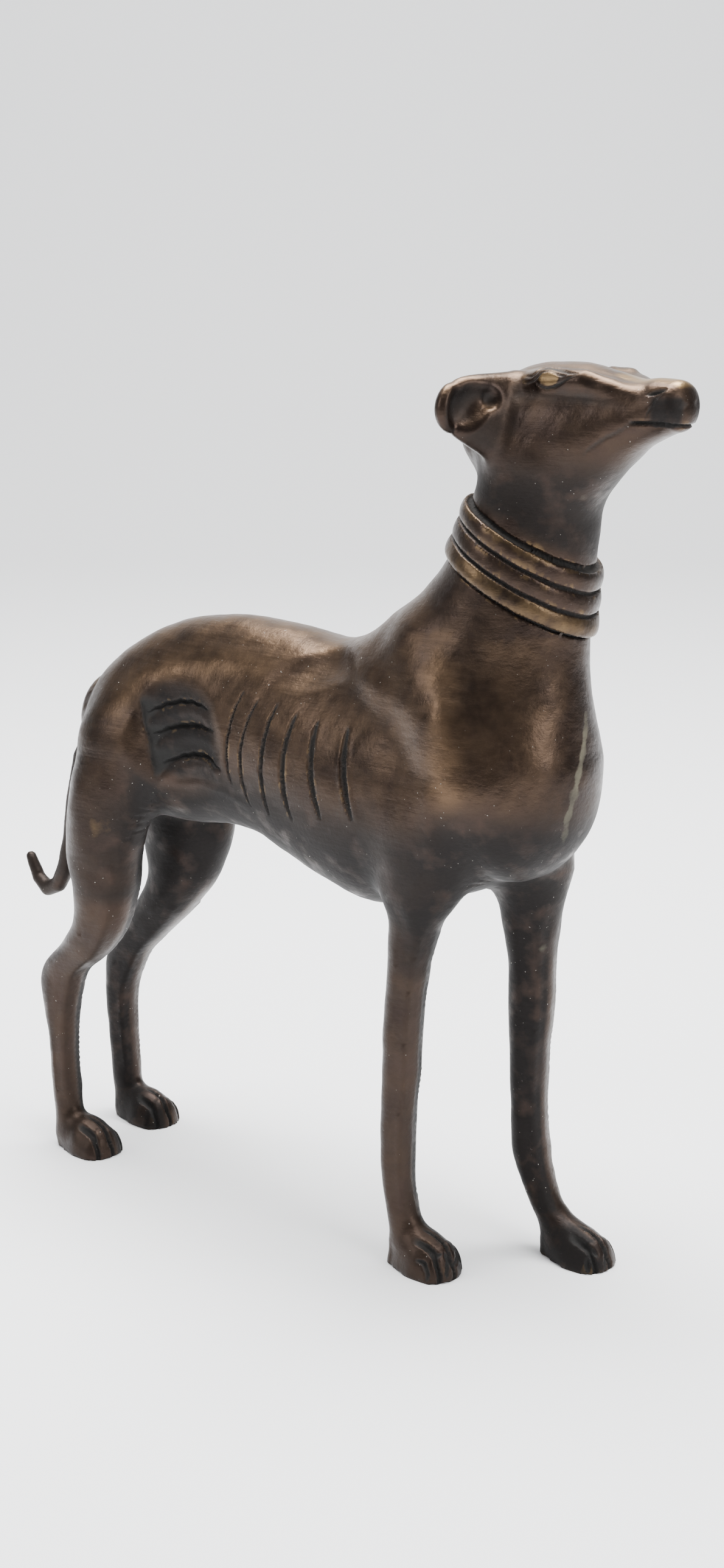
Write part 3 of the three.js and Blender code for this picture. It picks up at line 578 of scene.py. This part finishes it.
def face_cuts(p):
    q = into_head(p)
    s, out, z = q.T
    up = q[:, [0, 2]]
    on_eye = (s > 0) & (s < 34) & (z > 360) & (out > 9)
    depth = np.zeros(len(p))
    for line, half, deep in (BROW_LINE, UPPER_LID, REAR_LINE, LOWER_LID, LID_FOLD):
        depth = np.maximum(depth, groove(up, on_eye, line, half, deep))
    ball = eye_place(q)
    sunk = EYE_SOCKET_DEPTH * bowl(np.minimum(ball / EYE_SOCKET, 1))
    depth += np.where(on_eye, sunk - EYE_BALL_RISE * bowl(np.minimum(ball, 1)), 0)
    on_muzzle = (s > 30) & (z > 330) & (out > 2)
    for line, half, deep in (NOSE_EDGE, NOSE_NOTCH, JAW_CREASE):
        depth = np.maximum(depth, groove(up, on_muzzle, line, half, deep))
    mouth = z - (351.3 - 1.6 * smooth(64, 76, s))
    on_mouth = np.abs(mouth) < MOUTH_HALF
    cut = MOUTH_DEPTH * bowl(np.minimum(mouth / MOUTH_HALF, 1)) * smooth(51, 55, s)
    depth = np.maximum(depth, cut * on_mouth)
    rise = (z - NOSTRIL[1] - 0.25 * (s - NOSTRIL[0])) / NOSTRIL_HALF[1]
    leaf = np.hypot((s - NOSTRIL[0]) / NOSTRIL_HALF[0], rise)
    depth = np.maximum(depth, np.where(out > 3.5, NOSTRIL_DEPTH * bowl(np.minimum(leaf, 1)), 0))
    depth += swelling(q, (s < 14) & (out > 22) & (z > 338), EAR_FOLD, EAR_FOLD_HALF, EAR_FOLD_RISE)
    return np.where((z > 332) & (s > -25), depth, 0)


def sides(p):
    """1 on either side of the body and 0 along its middle."""
    return smooth(9, 15, np.abs(p[:, 1]))


def sharp_cuts(at):
    """How deep the chisel has cut at points on the skin, or with a minus how far a lip stands out."""
    p = unswung(at)
    flank = (p[:, 2] > 178) & (p[:, 2] < 268)
    depth = toe_cuts(p) + collar_cuts(p) + face_cuts(p)
    return depth + np.where(flank, sides(p) * (rib_cuts(p) + fold_cuts(p)), 0)


def chased(at):
    """The cuts, with the strokes and the soft ridges of the sides."""
    p = unswung(at)
    body = (p[:, 2] > 128) & (p[:, 2] < 268)
    return sharp_cuts(at) + np.where(body, sides(p) * side_cuts(p), 0)


# Broad surfaces keep the slight unevenness of wax that was smoothed by hand, and the brows end flat
BROW_FLATTENED = 0.7
WAVES = 0.16
RIPPLES = 0.07


def hand_worked(p):
    """The slight unevenness of broad surfaces modelled by hand, and a flatter end to the brow."""
    x, y, z = p.T
    s, out, _ = into_head(p).T
    brow_end = np.exp(-((s - 36) / 4) ** 2 - ((out - 13.5) / 3.5) ** 2 - ((z - 365.5) / 3) ** 2)
    waves = np.sin(0.21 * x + 0.9 * np.sin(0.13 * z)) * np.sin(0.19 * z + 0.17 * y)
    ripples = np.sin(0.53 * x + 0.31 * y) * np.sin(0.47 * z - 0.21 * x)
    return BROW_FLATTENED * brow_end + WAVES * waves + RIPPLES * ripples


# The legs were filed a little square
LEG_EDGE = 0.95
LEG_FACE = 0.4


def squared_legs(at, outward):
    """The legs are squared a little: an edge runs down each front corner, with flat faces beside it."""
    p = unswung(at)
    depth = np.zeros(len(p))
    ahead, aside = outward[:, 0], np.abs(outward[:, 1])
    corner = np.maximum(1 - np.abs(ahead - aside) / 0.42, 0)
    corner = corner - LEG_FACE * bowl(np.minimum((1 - aside) / 0.2, 1))
    along = smooth(24, 36, p[:, 2]) * smooth(165, 140, p[:, 2])
    for _, place in paws:
        near = (np.abs(p[:, 1] - place[1]) < 12) & (np.abs(p[:, 0] - place[0] - 6) < 42)
        depth -= np.where(near & (ahead > 0), LEG_EDGE * corner * along, 0)
    return depth


# A pale drip has dried down the middle of the chest
DRIP = (
    (146.5, 3.0, 239.2), (147.3, 1.6, 233.8), (148.5, -0.9, 225.7), (149.1, -4.8, 218.6),
    (148.6, -6.6, 210.4), (146.8, -8.8, 200.0), (141.7, -5.1, 186.0),
)


# The longest edges that the skin may have, in millimetres, from plain surfaces to the eyes
EDGE_PLAIN = 3.0
EDGE_LEG = 1.9
EDGE_FLANK = 1.7
EDGE_TAIL = 1.7
EDGE_HEAD = 1.5
EDGE_EAR = 1.1
EDGE_PAW = 1.1
EDGE_COLLAR = 1.1
EDGE_DRIP = 1.0
EDGE_MUZZLE = 0.95
EDGE_EYE = 0.7


def coarse_edge(at):
    """The longest edge of the skin that any cut could still be found under."""
    p = unswung(at)
    x, y, z = p.T
    s, out, _ = into_head(p).T
    edge = np.full(len(p), EDGE_PLAIN)
    edge[(z > 180) & (z < 240) & (np.abs(y) > 8) & (x > -72) & (x < 76)] = EDGE_FLANK
    edge[z > 322] = EDGE_HEAD
    edge[(z > 335) & (s > 34)] = EDGE_MUZZLE
    edge[(out > 22) & (z > 322)] = EDGE_EAR
    edge[(z > 359) & (s > 0) & (s < 35) & (out > 8)] = EDGE_EYE
    edge[z < SOLES + 22] = EDGE_PAW
    edge[x < -137] = EDGE_TAIL
    edge[(z > 24) & (z < 160) & (np.abs(y) > 8) & ((x < -50) | (x > 62))] = EDGE_LEG
    on_collar = along_collar(p)
    collar_zone = (on_collar > -0.5) & (on_collar < COLLAR_BANDS + 0.5)
    edge[collar_zone & (x > 60) & (z > 250) & (z < 340)] = EDGE_COLLAR
    drip, _ = off_line(DRIP, at)
    edge[drip < 5] = np.minimum(edge[drip < 5], EDGE_DRIP)
    return edge


# The skin is cast over the form: a point in each cell of a lattice that the form crosses, drawn onto it.
# Long edges are then split, and so is any edge that a cut bends between its ends.
LATTICE = 2.5
BLOCK = 4
FORM_LOW = (-178.0, -62.0, SOLES - 3.5 * LATTICE)
FORM_HIGH = (209.0, 64.0, 381.0)
LONGEST_PULL = 1.2
SPLIT_OVER = 1.45
FINEST = 0.5
CUT_ERROR = 0.14


def slope_of(field, p, step=0.05):
    """The outward direction of a form at points near its skin, and how steeply it changes there."""
    grad = np.stack([field(p + step * axis) - field(p - step * axis) for axis in np.eye(3)], axis=1)
    return grad / (np.linalg.norm(grad, axis=1, keepdims=True) + 1e-9), grad / (2 * step)


def cast_form(field, low, high):
    """The skin of a form: a point in each lattice cell that it crosses and a face on each cut edge."""
    counts = [BLOCK * math.ceil((h - l) / LATTICE / BLOCK) for l, h in zip(low, high)]
    middle = (BLOCK - 1) / 2
    middles = [l + LATTICE * (BLOCK * np.arange(n // BLOCK) + middle) for l, n in zip(low, counts)]
    grid = np.stack(np.meshgrid(*middles, indexing="ij"), axis=-1)
    rough = field(grid.reshape(-1, 3)).reshape(grid.shape[:3])
    value = np.repeat(np.repeat(np.repeat(rough, BLOCK, 0), BLOCK, 1), BLOCK, 2)
    close = np.argwhere(np.abs(value) < BLOCK * LATTICE * 0.9 + 4)
    value[tuple(close.T)] = field(np.array(low) + LATTICE * close)
    inside = value < 0

    corner = [np.array([n & 1, (n >> 1) & 1, n >> 2]) for n in range(8)]
    held = 0
    for offset in corner:
        cut = tuple(slice(k, size - 1 + k) for k, size in zip(offset, inside.shape))
        held = held + inside[cut].astype(np.int8)
    cells = np.argwhere((held > 0) & (held < 8))
    number = np.full(held.shape, -1, np.int64)
    number[tuple(cells.T)] = np.arange(len(cells))
    total, crossings = np.zeros((len(cells), 3)), np.zeros(len(cells))
    for a in range(8):
        for bit in (1, 2, 4):
            if a & bit:
                continue
            va = value[tuple((cells + corner[a]).T)]
            vb = value[tuple((cells + corner[a | bit]).T)]
            cuts = (va < 0) != (vb < 0)
            t = np.where(cuts, va / np.where(cuts, va - vb, 1), 0)
            total += cuts[:, None] * (corner[a] + t[:, None] * (corner[a | bit] - corner[a]))
            crossings += cuts
    points = np.array(low) + LATTICE * (cells + total / crossings[:, None])

    faces = []
    unit = np.eye(3, dtype=int)
    for n in range(3):
        ahead, u, w = unit[n], unit[(n + 1) % 3], unit[(n + 2) % 3]
        after = inside[tuple(slice(1 + k, size - 1 + k) for k, size in zip(ahead, inside.shape))]
        here = np.argwhere(inside[1:-1, 1:-1, 1:-1] != after) + 1
        ring = [number[tuple((here - k).T)] for k in (0 * u, u, u + w, w)]
        solid = inside[tuple(here.T)]
        b, d = np.where(solid, ring[1], ring[3]), np.where(solid, ring[3], ring[1])
        faces += [np.stack([ring[0], b, ring[2]], 1), np.stack([ring[0], ring[2], d], 1)]
    return points, np.concatenate(faces)


def onto(field, p, steps):
    """Draws points onto the skin of a form, and the soles flat."""
    for _ in range(steps):
        _, grad = slope_of(field, p)
        pull = field(p) / np.maximum((grad ** 2).sum(1), 0.2)
        p = p - np.clip(pull, -LONGEST_PULL, LONGEST_PULL)[:, None] * grad
    p[:, 2] = np.where(p[:, 2] < SOLES + 0.25, SOLES, p[:, 2])
    return p


def refine(field, carving, p, faces, passes):
    """Splits the edges that are too long where they lie, and those that a cut bends between its ends."""
    for _ in range(passes):
        edges = np.sort(np.concatenate([faces[:, [0, 1]], faces[:, [1, 2]], faces[:, [2, 0]]]), axis=1)
        pairs, which = np.unique(edges, axis=0, return_inverse=True)
        start, end = pairs.T
        middle = (p[start] + p[end]) / 2
        length = np.linalg.norm(p[start] - p[end], axis=1)
        depth = carving(p)
        bend = np.abs(carving(middle) - (depth[start] + depth[end]) / 2)
        split = (bend > CUT_ERROR) & (length > SPLIT_OVER * FINEST)
        split |= length > SPLIT_OVER * coarse_edge(middle)
        if not split.any():
            break
        new = np.full(len(pairs), -1)
        new[split] = len(p) + np.arange(split.sum())
        p = np.concatenate([p, onto(field, middle[split], 1)])
        mid = new[which.reshape(3, -1).T]
        cut = mid >= 0
        count = cut.sum(1)
        out = [faces[count == 0]]
        for k in range(3):
            a, b, c = faces[:, k], faces[:, (k + 1) % 3], faces[:, (k + 2) % 3]
            ab, bc = mid[:, k], mid[:, (k + 1) % 3]
            one = (count == 1) & cut[:, k]
            out += [np.stack(t, 1)[one] for t in ((a, ab, c), (ab, b, c))]
            two = (count == 2) & ~cut[:, (k + 2) % 3]
            out += [np.stack(t, 1)[two] for t in ((ab, b, bc), (a, ab, bc), (a, bc, c))]
        a, b, c = faces[count == 3].T
        ab, bc, ca = mid[count == 3].T
        out += [np.stack(t, 1) for t in ((a, ab, ca), (ab, b, bc), (ca, bc, c), (ab, bc, ca))]
        faces = np.concatenate(out)
    return p, faces


skin, faces = cast_form(figure, FORM_LOW, FORM_HIGH)
skin[:, 2] = np.where(skin[:, 2] < SOLES + LATTICE / 2, SOLES, skin[:, 2])
skin = onto(figure, skin, 2)
skin, faces = refine(figure, chased, skin, faces, 5)
skin = onto(figure, skin, 1)
outward, _ = slope_of(figure, skin)
depth = chased(skin)
taken_off = depth + hand_worked(skin) + squared_legs(skin, outward)
on_sole = (skin[:, 2] < SOLES + 0.01)[:, None]
carved = skin - outward * taken_off[:, None] * ~on_sole
carved[:, 2] = np.maximum(carved[:, 2], SOLES)

# The finished skin, placed in the frame's metres, in the box of the cast piece
node_low, node_high = (np.array(corner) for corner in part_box("greyhound"))
own_low, own_high = carved.min(0), carved.max(0)
placed = node_low + (carved - own_low) / (own_high - own_low) * (node_high - node_low)
dog_mesh = bpy.data.meshes.new("greyhound_bronze")
dog_mesh.vertices.add(len(placed))
dog_mesh.vertices.foreach_set("co", placed.astype(np.float32).ravel())
dog_mesh.loops.add(3 * len(faces))
dog_mesh.loops.foreach_set("vertex_index", faces.astype(np.int32).ravel())
dog_mesh.polygons.add(len(faces))
dog_mesh.polygons.foreach_set("loop_start", np.arange(0, 3 * len(faces), 3, dtype=np.int32))
dog_mesh.polygons.foreach_set("use_smooth", np.ones(len(faces), bool))
dog_mesh.update()
dog = bpy.data.objects.new("greyhound_bronze", dog_mesh)
bpy.context.scene.collection.objects.link(dog)


# The patina's wear with painted light and shade, painted over the skin from 0 to 1 in five layers: black
# in the cuts, which is patina and painted shade; painted shade underneath, inside and between the parts;
# metal rubbed bright, with a painted highlight on the bridge of the nose; a painted copper highlight on
# top; and stains. Ridges and creases are found first.
SHARPEST = 0.12


def gathered(value):
    """For each point, the sum of a value over the other two points of every face round it."""
    total = np.zeros(len(carved))
    for i in range(3):
        for step in (1, 2):
            total += np.bincount(faces[:, i], value[faces[:, (i + step) % 3]], len(carved))
    return total


def shared(value, rounds):
    """Evens a value out between neighbouring points."""
    for _ in range(rounds):
        value = 0.5 * value + 0.5 * gathered(value) / (2 * degree)
    return value


degree = np.maximum(np.bincount(faces.ravel(), minlength=len(carved)), 1)
pull = np.stack([gathered(carved[:, k]) / (2 * degree) - carved[:, k] for k in range(3)], axis=1)
reach = np.zeros(len(carved))
for i in range(3):
    side_length = np.linalg.norm(carved[faces[:, (i + 1) % 3]] - carved[faces[:, i]], axis=1)
    reach += np.bincount(faces[:, i], side_length, len(carved)) / degree
sharp = shared(-(pull * outward).sum(1) / np.maximum(reach, 0.1) ** 2, 5)
ridge = np.clip(sharp / SHARPEST, 0, 1)
crease = np.clip(-sharp / SHARPEST, 0, 1)

straight = unswung(skin)
x, y, z = straight.T
flat_side = straight[:, [0, 2]]
head_at = into_head(straight)
muzzle, aside, _ = head_at.T
bands_up = along_collar(straight)
facing_up = outward[:, 2]


def near_line(line, q, half):
    """1 on a drawn line, fading to either side."""
    return np.exp(-(off_line(line, q)[0] / half) ** 2)


def blot(at, radius):
    """A round patch about a place on the straight dog."""
    return np.clip(1.5 - np.linalg.norm(straight - np.array(at), axis=1) / radius, 0, 1)


def inside_outline(line, q):
    """1 inside a closed outline and 0 outside, with an edge a few millimetres soft."""
    ends = np.array(line, float)
    crossed = np.zeros(len(q), int)
    for a, b in zip(ends, np.roll(ends, -1, axis=0)):
        spans = (a[1] > q[:, 1]) != (b[1] > q[:, 1])
        rise = b[1] - a[1] if b[1] != a[1] else 1e-9
        crossed += spans & (q[:, 0] < a[0] + (q[:, 1] - a[1]) / rise * (b[0] - a[0]))
    off, _ = off_line(line + line[:1], q)
    return smooth(-4, 4.5, np.where(crossed % 2 == 1, off, -off))


# Black: the dark patina of the cuts, which also paints the shade inside them and in the creases. A cut
# deeper than this is wholly black, and the finer cuts of the face need more
BLACK_DEPTH = 0.55
FACE_BLACK_DEPTH = 0.9
black = np.clip(sharp_cuts(skin) / np.where(z > 335, FACE_BLACK_DEPTH, BLACK_DEPTH), 0, 1)
# The creases are darkened by half, as painted shade
black = np.maximum(black, crease * 0.5)

# Painted shade: the inner faces of the legs, the legs a little low down, the belly, the hollow of the
# flank, the throat, the cup of the ear, the tip of the nose, the tail and the backs of the hocks are
# painted dark
inner = np.clip(-outward[:, 1] * np.sign(y), 0, 1)
painted_shade = np.where(z < 168, np.maximum(smooth(0.05, 0.35, inner), 0.25 * smooth(150, 120, z)), 0)
belly = smooth(-0.25, 0.4, -facing_up) * smooth(124, 136, z) * smooth(215, 190, z)
painted_shade = np.maximum(painted_shade, belly)
painted_shade = np.maximum(painted_shade, inside_outline(HOLLOW, flat_side) * sides(straight) * (z > 185))
throat = smooth(COLLAR_BANDS + 0.1, COLLAR_BANDS + 0.8, bands_up) * (x > 90) * smooth(345, 325, z)
painted_shade = np.maximum(painted_shade, 0.9 * throat)
in_ear = smooth(0.3, 0.8, outward[:, 0] * 0.6 - facing_up * 0.4)
painted_shade = np.maximum(painted_shade, np.where((z > 338) & (muzzle < 12) & (aside > 21), in_ear, 0))
nose_tip = smooth(59, 62, muzzle) * smooth(3, 5, aside) * smooth(361.5, 359.5, z) * (z > 350)
painted_shade = np.maximum(painted_shade, 0.95 * nose_tip)
painted_shade = np.maximum(painted_shade, 0.7 * smooth(-118, -132, x) * (z > 50))

# Rubbed to the metal: the ridges, the eyeball and its lids, the lowest band of the collar, and a touch on
# the thigh and on the right front paw; and a painted highlight on the bridge of the nose, where it faces
# up
rubbed_and_highlight = ridge * np.where(z > 330, 0.2, np.where(z < 34, 0.16, 0.3)) * smooth(-150, -120, x)
round_eye = (z > 355) & (aside > 9) & (muzzle > 0) & (muzzle < 34)
rubbed_and_highlight = np.maximum(rubbed_and_highlight, np.where(round_eye, 0.42 * smooth(1.2, 0.7, eye_place(head_at)), 0))
for line, half, _ in (UPPER_LID, REAR_LINE, LOWER_LID):
    lid = near_line(line, head_at[:, [0, 2]], half * 2.2)
    rubbed_and_highlight = np.maximum(rubbed_and_highlight, np.where(round_eye, 0.3 * lid, 0))
# Painted highlight: the bridge of the nose is painted bright brass where it faces up
bridge_highlight = (z > 360) * smooth(6.5, 3, aside) * smooth(34, 44, muzzle) * smooth(0.4, 0.8, facing_up)
rubbed_and_highlight = np.maximum(rubbed_and_highlight, 0.7 * bridge_highlight)
lowest_band = (bands_up > 0) & (bands_up < 1) & (x > 60) & (z > 250) & (z < 330)
rubbed_and_highlight = np.maximum(rubbed_and_highlight, np.where(lowest_band, 0.3, 0))
rubbed_and_highlight = np.maximum(rubbed_and_highlight, 0.2 * blot((-82.4, -35.3, 166.6), 9))
rubbed_and_highlight = np.maximum(rubbed_and_highlight, 0.6 * blot((66, -26, 14), 7))
rubbed_and_highlight *= 1 - 0.85 * np.clip(depth / 0.6, 0, 1)

# Painted highlight: copper brown painted where light falls, on the back and the upward faces, the loin
# and shoulder ridges, and the flank
painted_highlight = smooth(0.3, 0.95, facing_up) * smooth(120, 150, z)
for line, half, _ in (LOIN_RIDGE, SHOULDER_RIDGE):
    painted_highlight = np.maximum(painted_highlight, near_line(line, flat_side, half * 1.8) * sides(straight))
# A weaker painted highlight on the right flank, where it faces to the right and up
right_flank = smooth(175, 235, z) * smooth(0.15, 0.7, -outward[:, 1] + facing_up) * (z < 270)
painted_highlight = np.maximum(painted_highlight, 0.32 * right_flank)
painted_highlight *= 1 - 0.8 * painted_shade

# Stains: the drip on the chest, which thins out downward, and three green spots
off_drip, down_drip = off_line(DRIP, skin)
stain = smooth(1.9, 0.9, off_drip * (1 + 0.25 * np.sin(skin[:, 2] * 0.8))) * smooth(1.02, 0.7, down_drip)
for place, radius in (
    ((148.6, -6.6, 210.4), 2.4), ((117.2, 18.7, 137.3), 1.3), ((152.1, -10.2, 323.1), 1.3),
):
    stain = np.maximum(stain, blot(place, radius))

for name, mask in (
    ("black", black), ("painted_shade", painted_shade), ("rubbed_and_highlight", rubbed_and_highlight), ("painted_highlight", painted_highlight), ("stain", stain),
):
    layer = dog_mesh.attributes.new(name, "FLOAT", "POINT")
    layer.data.foreach_set("value", np.clip(mask, 0, 1).astype(np.float32))

# Patinated bronze: a dark brown over the metal in two mottled shades, with a painted copper highlight,
# painted shade, bare brass with a painted highlight on the nose, the black of the cuts with their painted
# shade, the stains and dust laid over it by the painted layers. Colours are linear.
DARK_BROWN = (0.020, 0.014, 0.012, 1)
BROWN = (0.040, 0.026, 0.020, 1)
FLECKED_BROWN = (0.056, 0.036, 0.024, 1)
# The colour of the painted copper highlight
COPPER_HIGHLIGHT = (0.150, 0.093, 0.053, 1)
# The colour of the painted shade
PAINTED_SHADE_TONE = (0.006, 0.0055, 0.0057, 1)
# Bare brass, also the colour of the painted highlight on the nose
BRASS = (0.330, 0.215, 0.095, 1)
# The black patina of the cuts, which also paints their shade
CUT_BLACK = (0.004, 0.0035, 0.003, 1)
PALE_GREEN = (0.200, 0.190, 0.120, 1)
DUST = (0.400, 0.380, 0.340, 1)
bronze = bpy.data.materials.new("patinated_bronze")
bronze.use_nodes = True
tree = bronze.node_tree
shader = tree.nodes["Principled BSDF"]


def socket(value, target):
    """Feeds a node's input from another node's output, or sets it."""
    if isinstance(value, bpy.types.NodeSocket):
        tree.links.new(value, target)
    else:
        target.default_value = value


def painted(name):
    """A layer painted over the skin."""
    node = tree.nodes.new("ShaderNodeAttribute")
    node.attribute_name = name
    return node.outputs["Fac"]


def mottle(scale, detail, stretch=(1, 1, 1), rough=0.55):
    """Cloudy noise through the metal, in so many clouds to the metre."""
    place = tree.nodes.new("ShaderNodeTexCoord")
    turn = tree.nodes.new("ShaderNodeMapping")
    turn.inputs["Scale"].default_value = stretch
    noise = tree.nodes.new("ShaderNodeTexNoise")
    noise.inputs["Scale"].default_value = scale
    noise.inputs["Detail"].default_value = detail
    noise.inputs["Roughness"].default_value = rough
    tree.links.new(place.outputs["Object"], turn.inputs["Vector"])
    tree.links.new(turn.outputs["Vector"], noise.inputs["Vector"])
    return noise.outputs["Fac"]


def ramp(value, low, high):
    """0 below one value and 1 above the other."""
    node = tree.nodes.new("ShaderNodeMapRange")
    socket(value, node.inputs["Value"])
    node.inputs["From Min"].default_value = low
    node.inputs["From Max"].default_value = high
    return node.outputs["Result"]


def calc(kind, a, b):
    """Two values added, multiplied or compared, and kept from 0 to 1."""
    node = tree.nodes.new("ShaderNodeMath")
    node.operation = kind
    node.use_clamp = True
    socket(a, node.inputs[0])
    socket(b, node.inputs[1])
    return node.outputs["Value"]


def blend(share, under, over):
    """A colour laid over another by a share."""
    node = tree.nodes.new("ShaderNodeMix")
    node.data_type = "RGBA"
    socket(share, node.inputs["Factor"])
    socket(under, node.inputs["A"])
    socket(over, node.inputs["B"])
    return node.outputs["Result"]


def lerp(share, under, over):
    """A value moved toward another by a share."""
    node = tree.nodes.new("ShaderNodeMix")
    socket(share, node.inputs["Factor"])
    socket(under, node.inputs["A"])
    socket(over, node.inputs["B"])
    return node.outputs["Result"]


broad = mottle(22, 5)
middling = mottle(95, 6)
fine = mottle(520, 3)
scratch = mottle(240, 3, stretch=(0.12, 1.0, 1.6), rough=0.7)
broken = ramp(middling, 0.36, 0.62)

# The painted shade, broken up by cloudy noise
painted_shade_mask = calc("MULTIPLY", painted("painted_shade"), ramp(middling, 0.22, 0.5))
cloudy = calc("ADD", calc("MULTIPLY", broad, 0.5), calc("MULTIPLY", middling, 0.5))
# The painted copper highlight, broken up by cloudy noise
painted_highlight_mask = calc("MULTIPLY", painted("painted_highlight"), ramp(cloudy, 0.22, 0.66))
# Rubbed brass, with the painted highlight on the nose
rubbed_and_highlight_mask = ramp(calc("ADD", painted("rubbed_and_highlight"), calc("MULTIPLY", middling, 0.5)), 0.45, 1.1)
# The black of the cuts: patina and painted shade
black_mask = painted("black")
stain_mask = calc("MULTIPLY", ramp(painted("stain"), 0.2, 0.9), ramp(middling, 0.3, 0.62))
dust_mask = calc("MULTIPLY", ramp(mottle(900, 1), 0.775, 0.79), ramp(broad, 0.42, 0.6))

colour = blend(ramp(broad, 0.35, 0.66), DARK_BROWN, BROWN)
for mask, strength, shade in (
    (broken, 0.45, FLECKED_BROWN), (painted_highlight_mask, 0.8, COPPER_HIGHLIGHT), (painted_shade_mask, 0.9, PAINTED_SHADE_TONE),
    (rubbed_and_highlight_mask, 0.85, BRASS), (black_mask, 0.93, CUT_BLACK), (stain_mask, 0.38, PALE_GREEN),
    (dust_mask, 0.7, DUST),
):
    colour = blend(calc("MULTIPLY", mask, strength), colour, shade)
metal = lerp(painted_shade_mask, 0.9, 0.75)
metal = lerp(black_mask, metal, 0.1)
metal = lerp(calc("MAXIMUM", stain_mask, dust_mask), metal, 0.0)
rough = lerp(middling, 0.2, 0.42)
rough = lerp(calc("MULTIPLY", ramp(scratch, 0.4, 0.7), 0.5), rough, 0.5)
rough = lerp(painted_shade_mask, rough, 0.62)
rough = lerp(rubbed_and_highlight_mask, rough, 0.3)
rough = lerp(calc("MAXIMUM", black_mask, stain_mask), rough, 0.85)
relief = calc("ADD", calc("MULTIPLY", scratch, 0.35), calc("MULTIPLY", fine, 0.3))
relief = calc("ADD", relief, calc("MULTIPLY", middling, 0.35))
bump = tree.nodes.new("ShaderNodeBump")
bump.inputs["Strength"].default_value = 0.485
bump.inputs["Distance"].default_value = 0.0008
tree.links.new(relief, bump.inputs["Height"])
tree.links.new(bump.outputs["Normal"], shader.inputs["Normal"])
tree.links.new(colour, shader.inputs["Base Color"])
tree.links.new(metal, shader.inputs["Metallic"])
tree.links.new(rough, shader.inputs["Roughness"])
dog_mesh.materials.append(bronze)
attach(dog, "root")
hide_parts("greyhound")


# The floor and the backdrop: one pale seamless sheet of paper, flat round the statue, and curving up
# well behind it. Metres.
SWEEP_WIDE = 9.0
SWEEP_NEAR = -2.4
SWEEP_FLAT = 2.2
SWEEP_ROUND = 1.2
SWEEP_HIGH = 3.6
SWEEP_STEPS = 24
profile = [(SWEEP_NEAR, 0.0), (SWEEP_FLAT, 0.0)]
for step in range(1, SWEEP_STEPS + 1):
    bend = math.radians(90 * step / SWEEP_STEPS)
    profile.append((SWEEP_FLAT + SWEEP_ROUND * math.sin(bend), SWEEP_ROUND * (1 - math.cos(bend))))
profile.append((SWEEP_FLAT + SWEEP_ROUND, SWEEP_HIGH))
away = (-math.sin(math.radians(CAMERA_TURN)), math.cos(math.radians(CAMERA_TURN)))
sweep_points = []
for back, up in profile:
    for across in (-SWEEP_WIDE / 2, SWEEP_WIDE / 2):
        sweep_points.append((away[0] * back - away[1] * across, away[1] * back + away[0] * across, up))
sweep_faces = [(2 * i, 2 * i + 2, 2 * i + 3, 2 * i + 1) for i in range(len(profile) - 1)]
floor_mesh = bpy.data.meshes.new("floor")
floor_mesh.from_pydata(sweep_points, [], sweep_faces)
for polygon in floor_mesh.polygons:
    polygon.use_smooth = True
floor = bpy.data.objects.new("floor", floor_mesh)
bpy.context.scene.collection.objects.link(floor)
paper = bpy.data.materials.new("pale_paper")
paper.use_nodes = True
paper_shader = paper.node_tree.nodes["Principled BSDF"]
paper_shader.inputs["Base Color"].default_value = (0.90, 0.905, 0.915, 1)
paper_shader.inputs["Roughness"].default_value = 0.9
floor_mesh.materials.append(paper)


# Soft studio light: a broad box over the statue, one ahead of its nose, a weak one off its right haunch,
# one that lights the paper where it rises behind, and an even pale room
def soft_box(name, at, aim, size, power):
    """A rectangular lamp, in metres and watts, turned to face a place."""
    light = bpy.data.lights.new(name, "AREA")
    light.shape = "RECTANGLE"
    light.size, light.size_y = size
    light.energy = power
    box = bpy.data.objects.new(name, light)
    box.location = at
    direction = np.array(aim, float) - np.array(at, float)
    box.rotation_euler = (
        math.atan2(math.hypot(direction[0], direction[1]), -direction[2]),
        0,
        math.atan2(direction[1], direction[0]) - math.pi / 2,
    )
    bpy.context.scene.collection.objects.link(box)


BODY = (0, 0, 0.2)
WALL_LAMP = (0.5 * away[0], 0.5 * away[1], 2.9)
WALL = (2.6 * away[0], 2.6 * away[1], 0.6)
soft_box("top_box", (-0.05, 0.1, 1.5), BODY, (1.3, 1.1), 66)
soft_box("wall_box", WALL_LAMP, WALL, (2.6, 0.9), 150)
soft_box("right_box", (1.5, -0.2, 0.9), BODY, (0.6, 1.1), 16)
soft_box("left_box", (-0.9, -1.4, 0.9), BODY, (0.5, 0.9), 9)
world = bpy.data.worlds.new("studio")
world.use_nodes = True
world.node_tree.nodes["Background"].inputs["Color"].default_value = (0.93, 0.94, 0.95, 1)
world.node_tree.nodes["Background"].inputs["Strength"].default_value = 0.48
bpy.context.scene.world = world
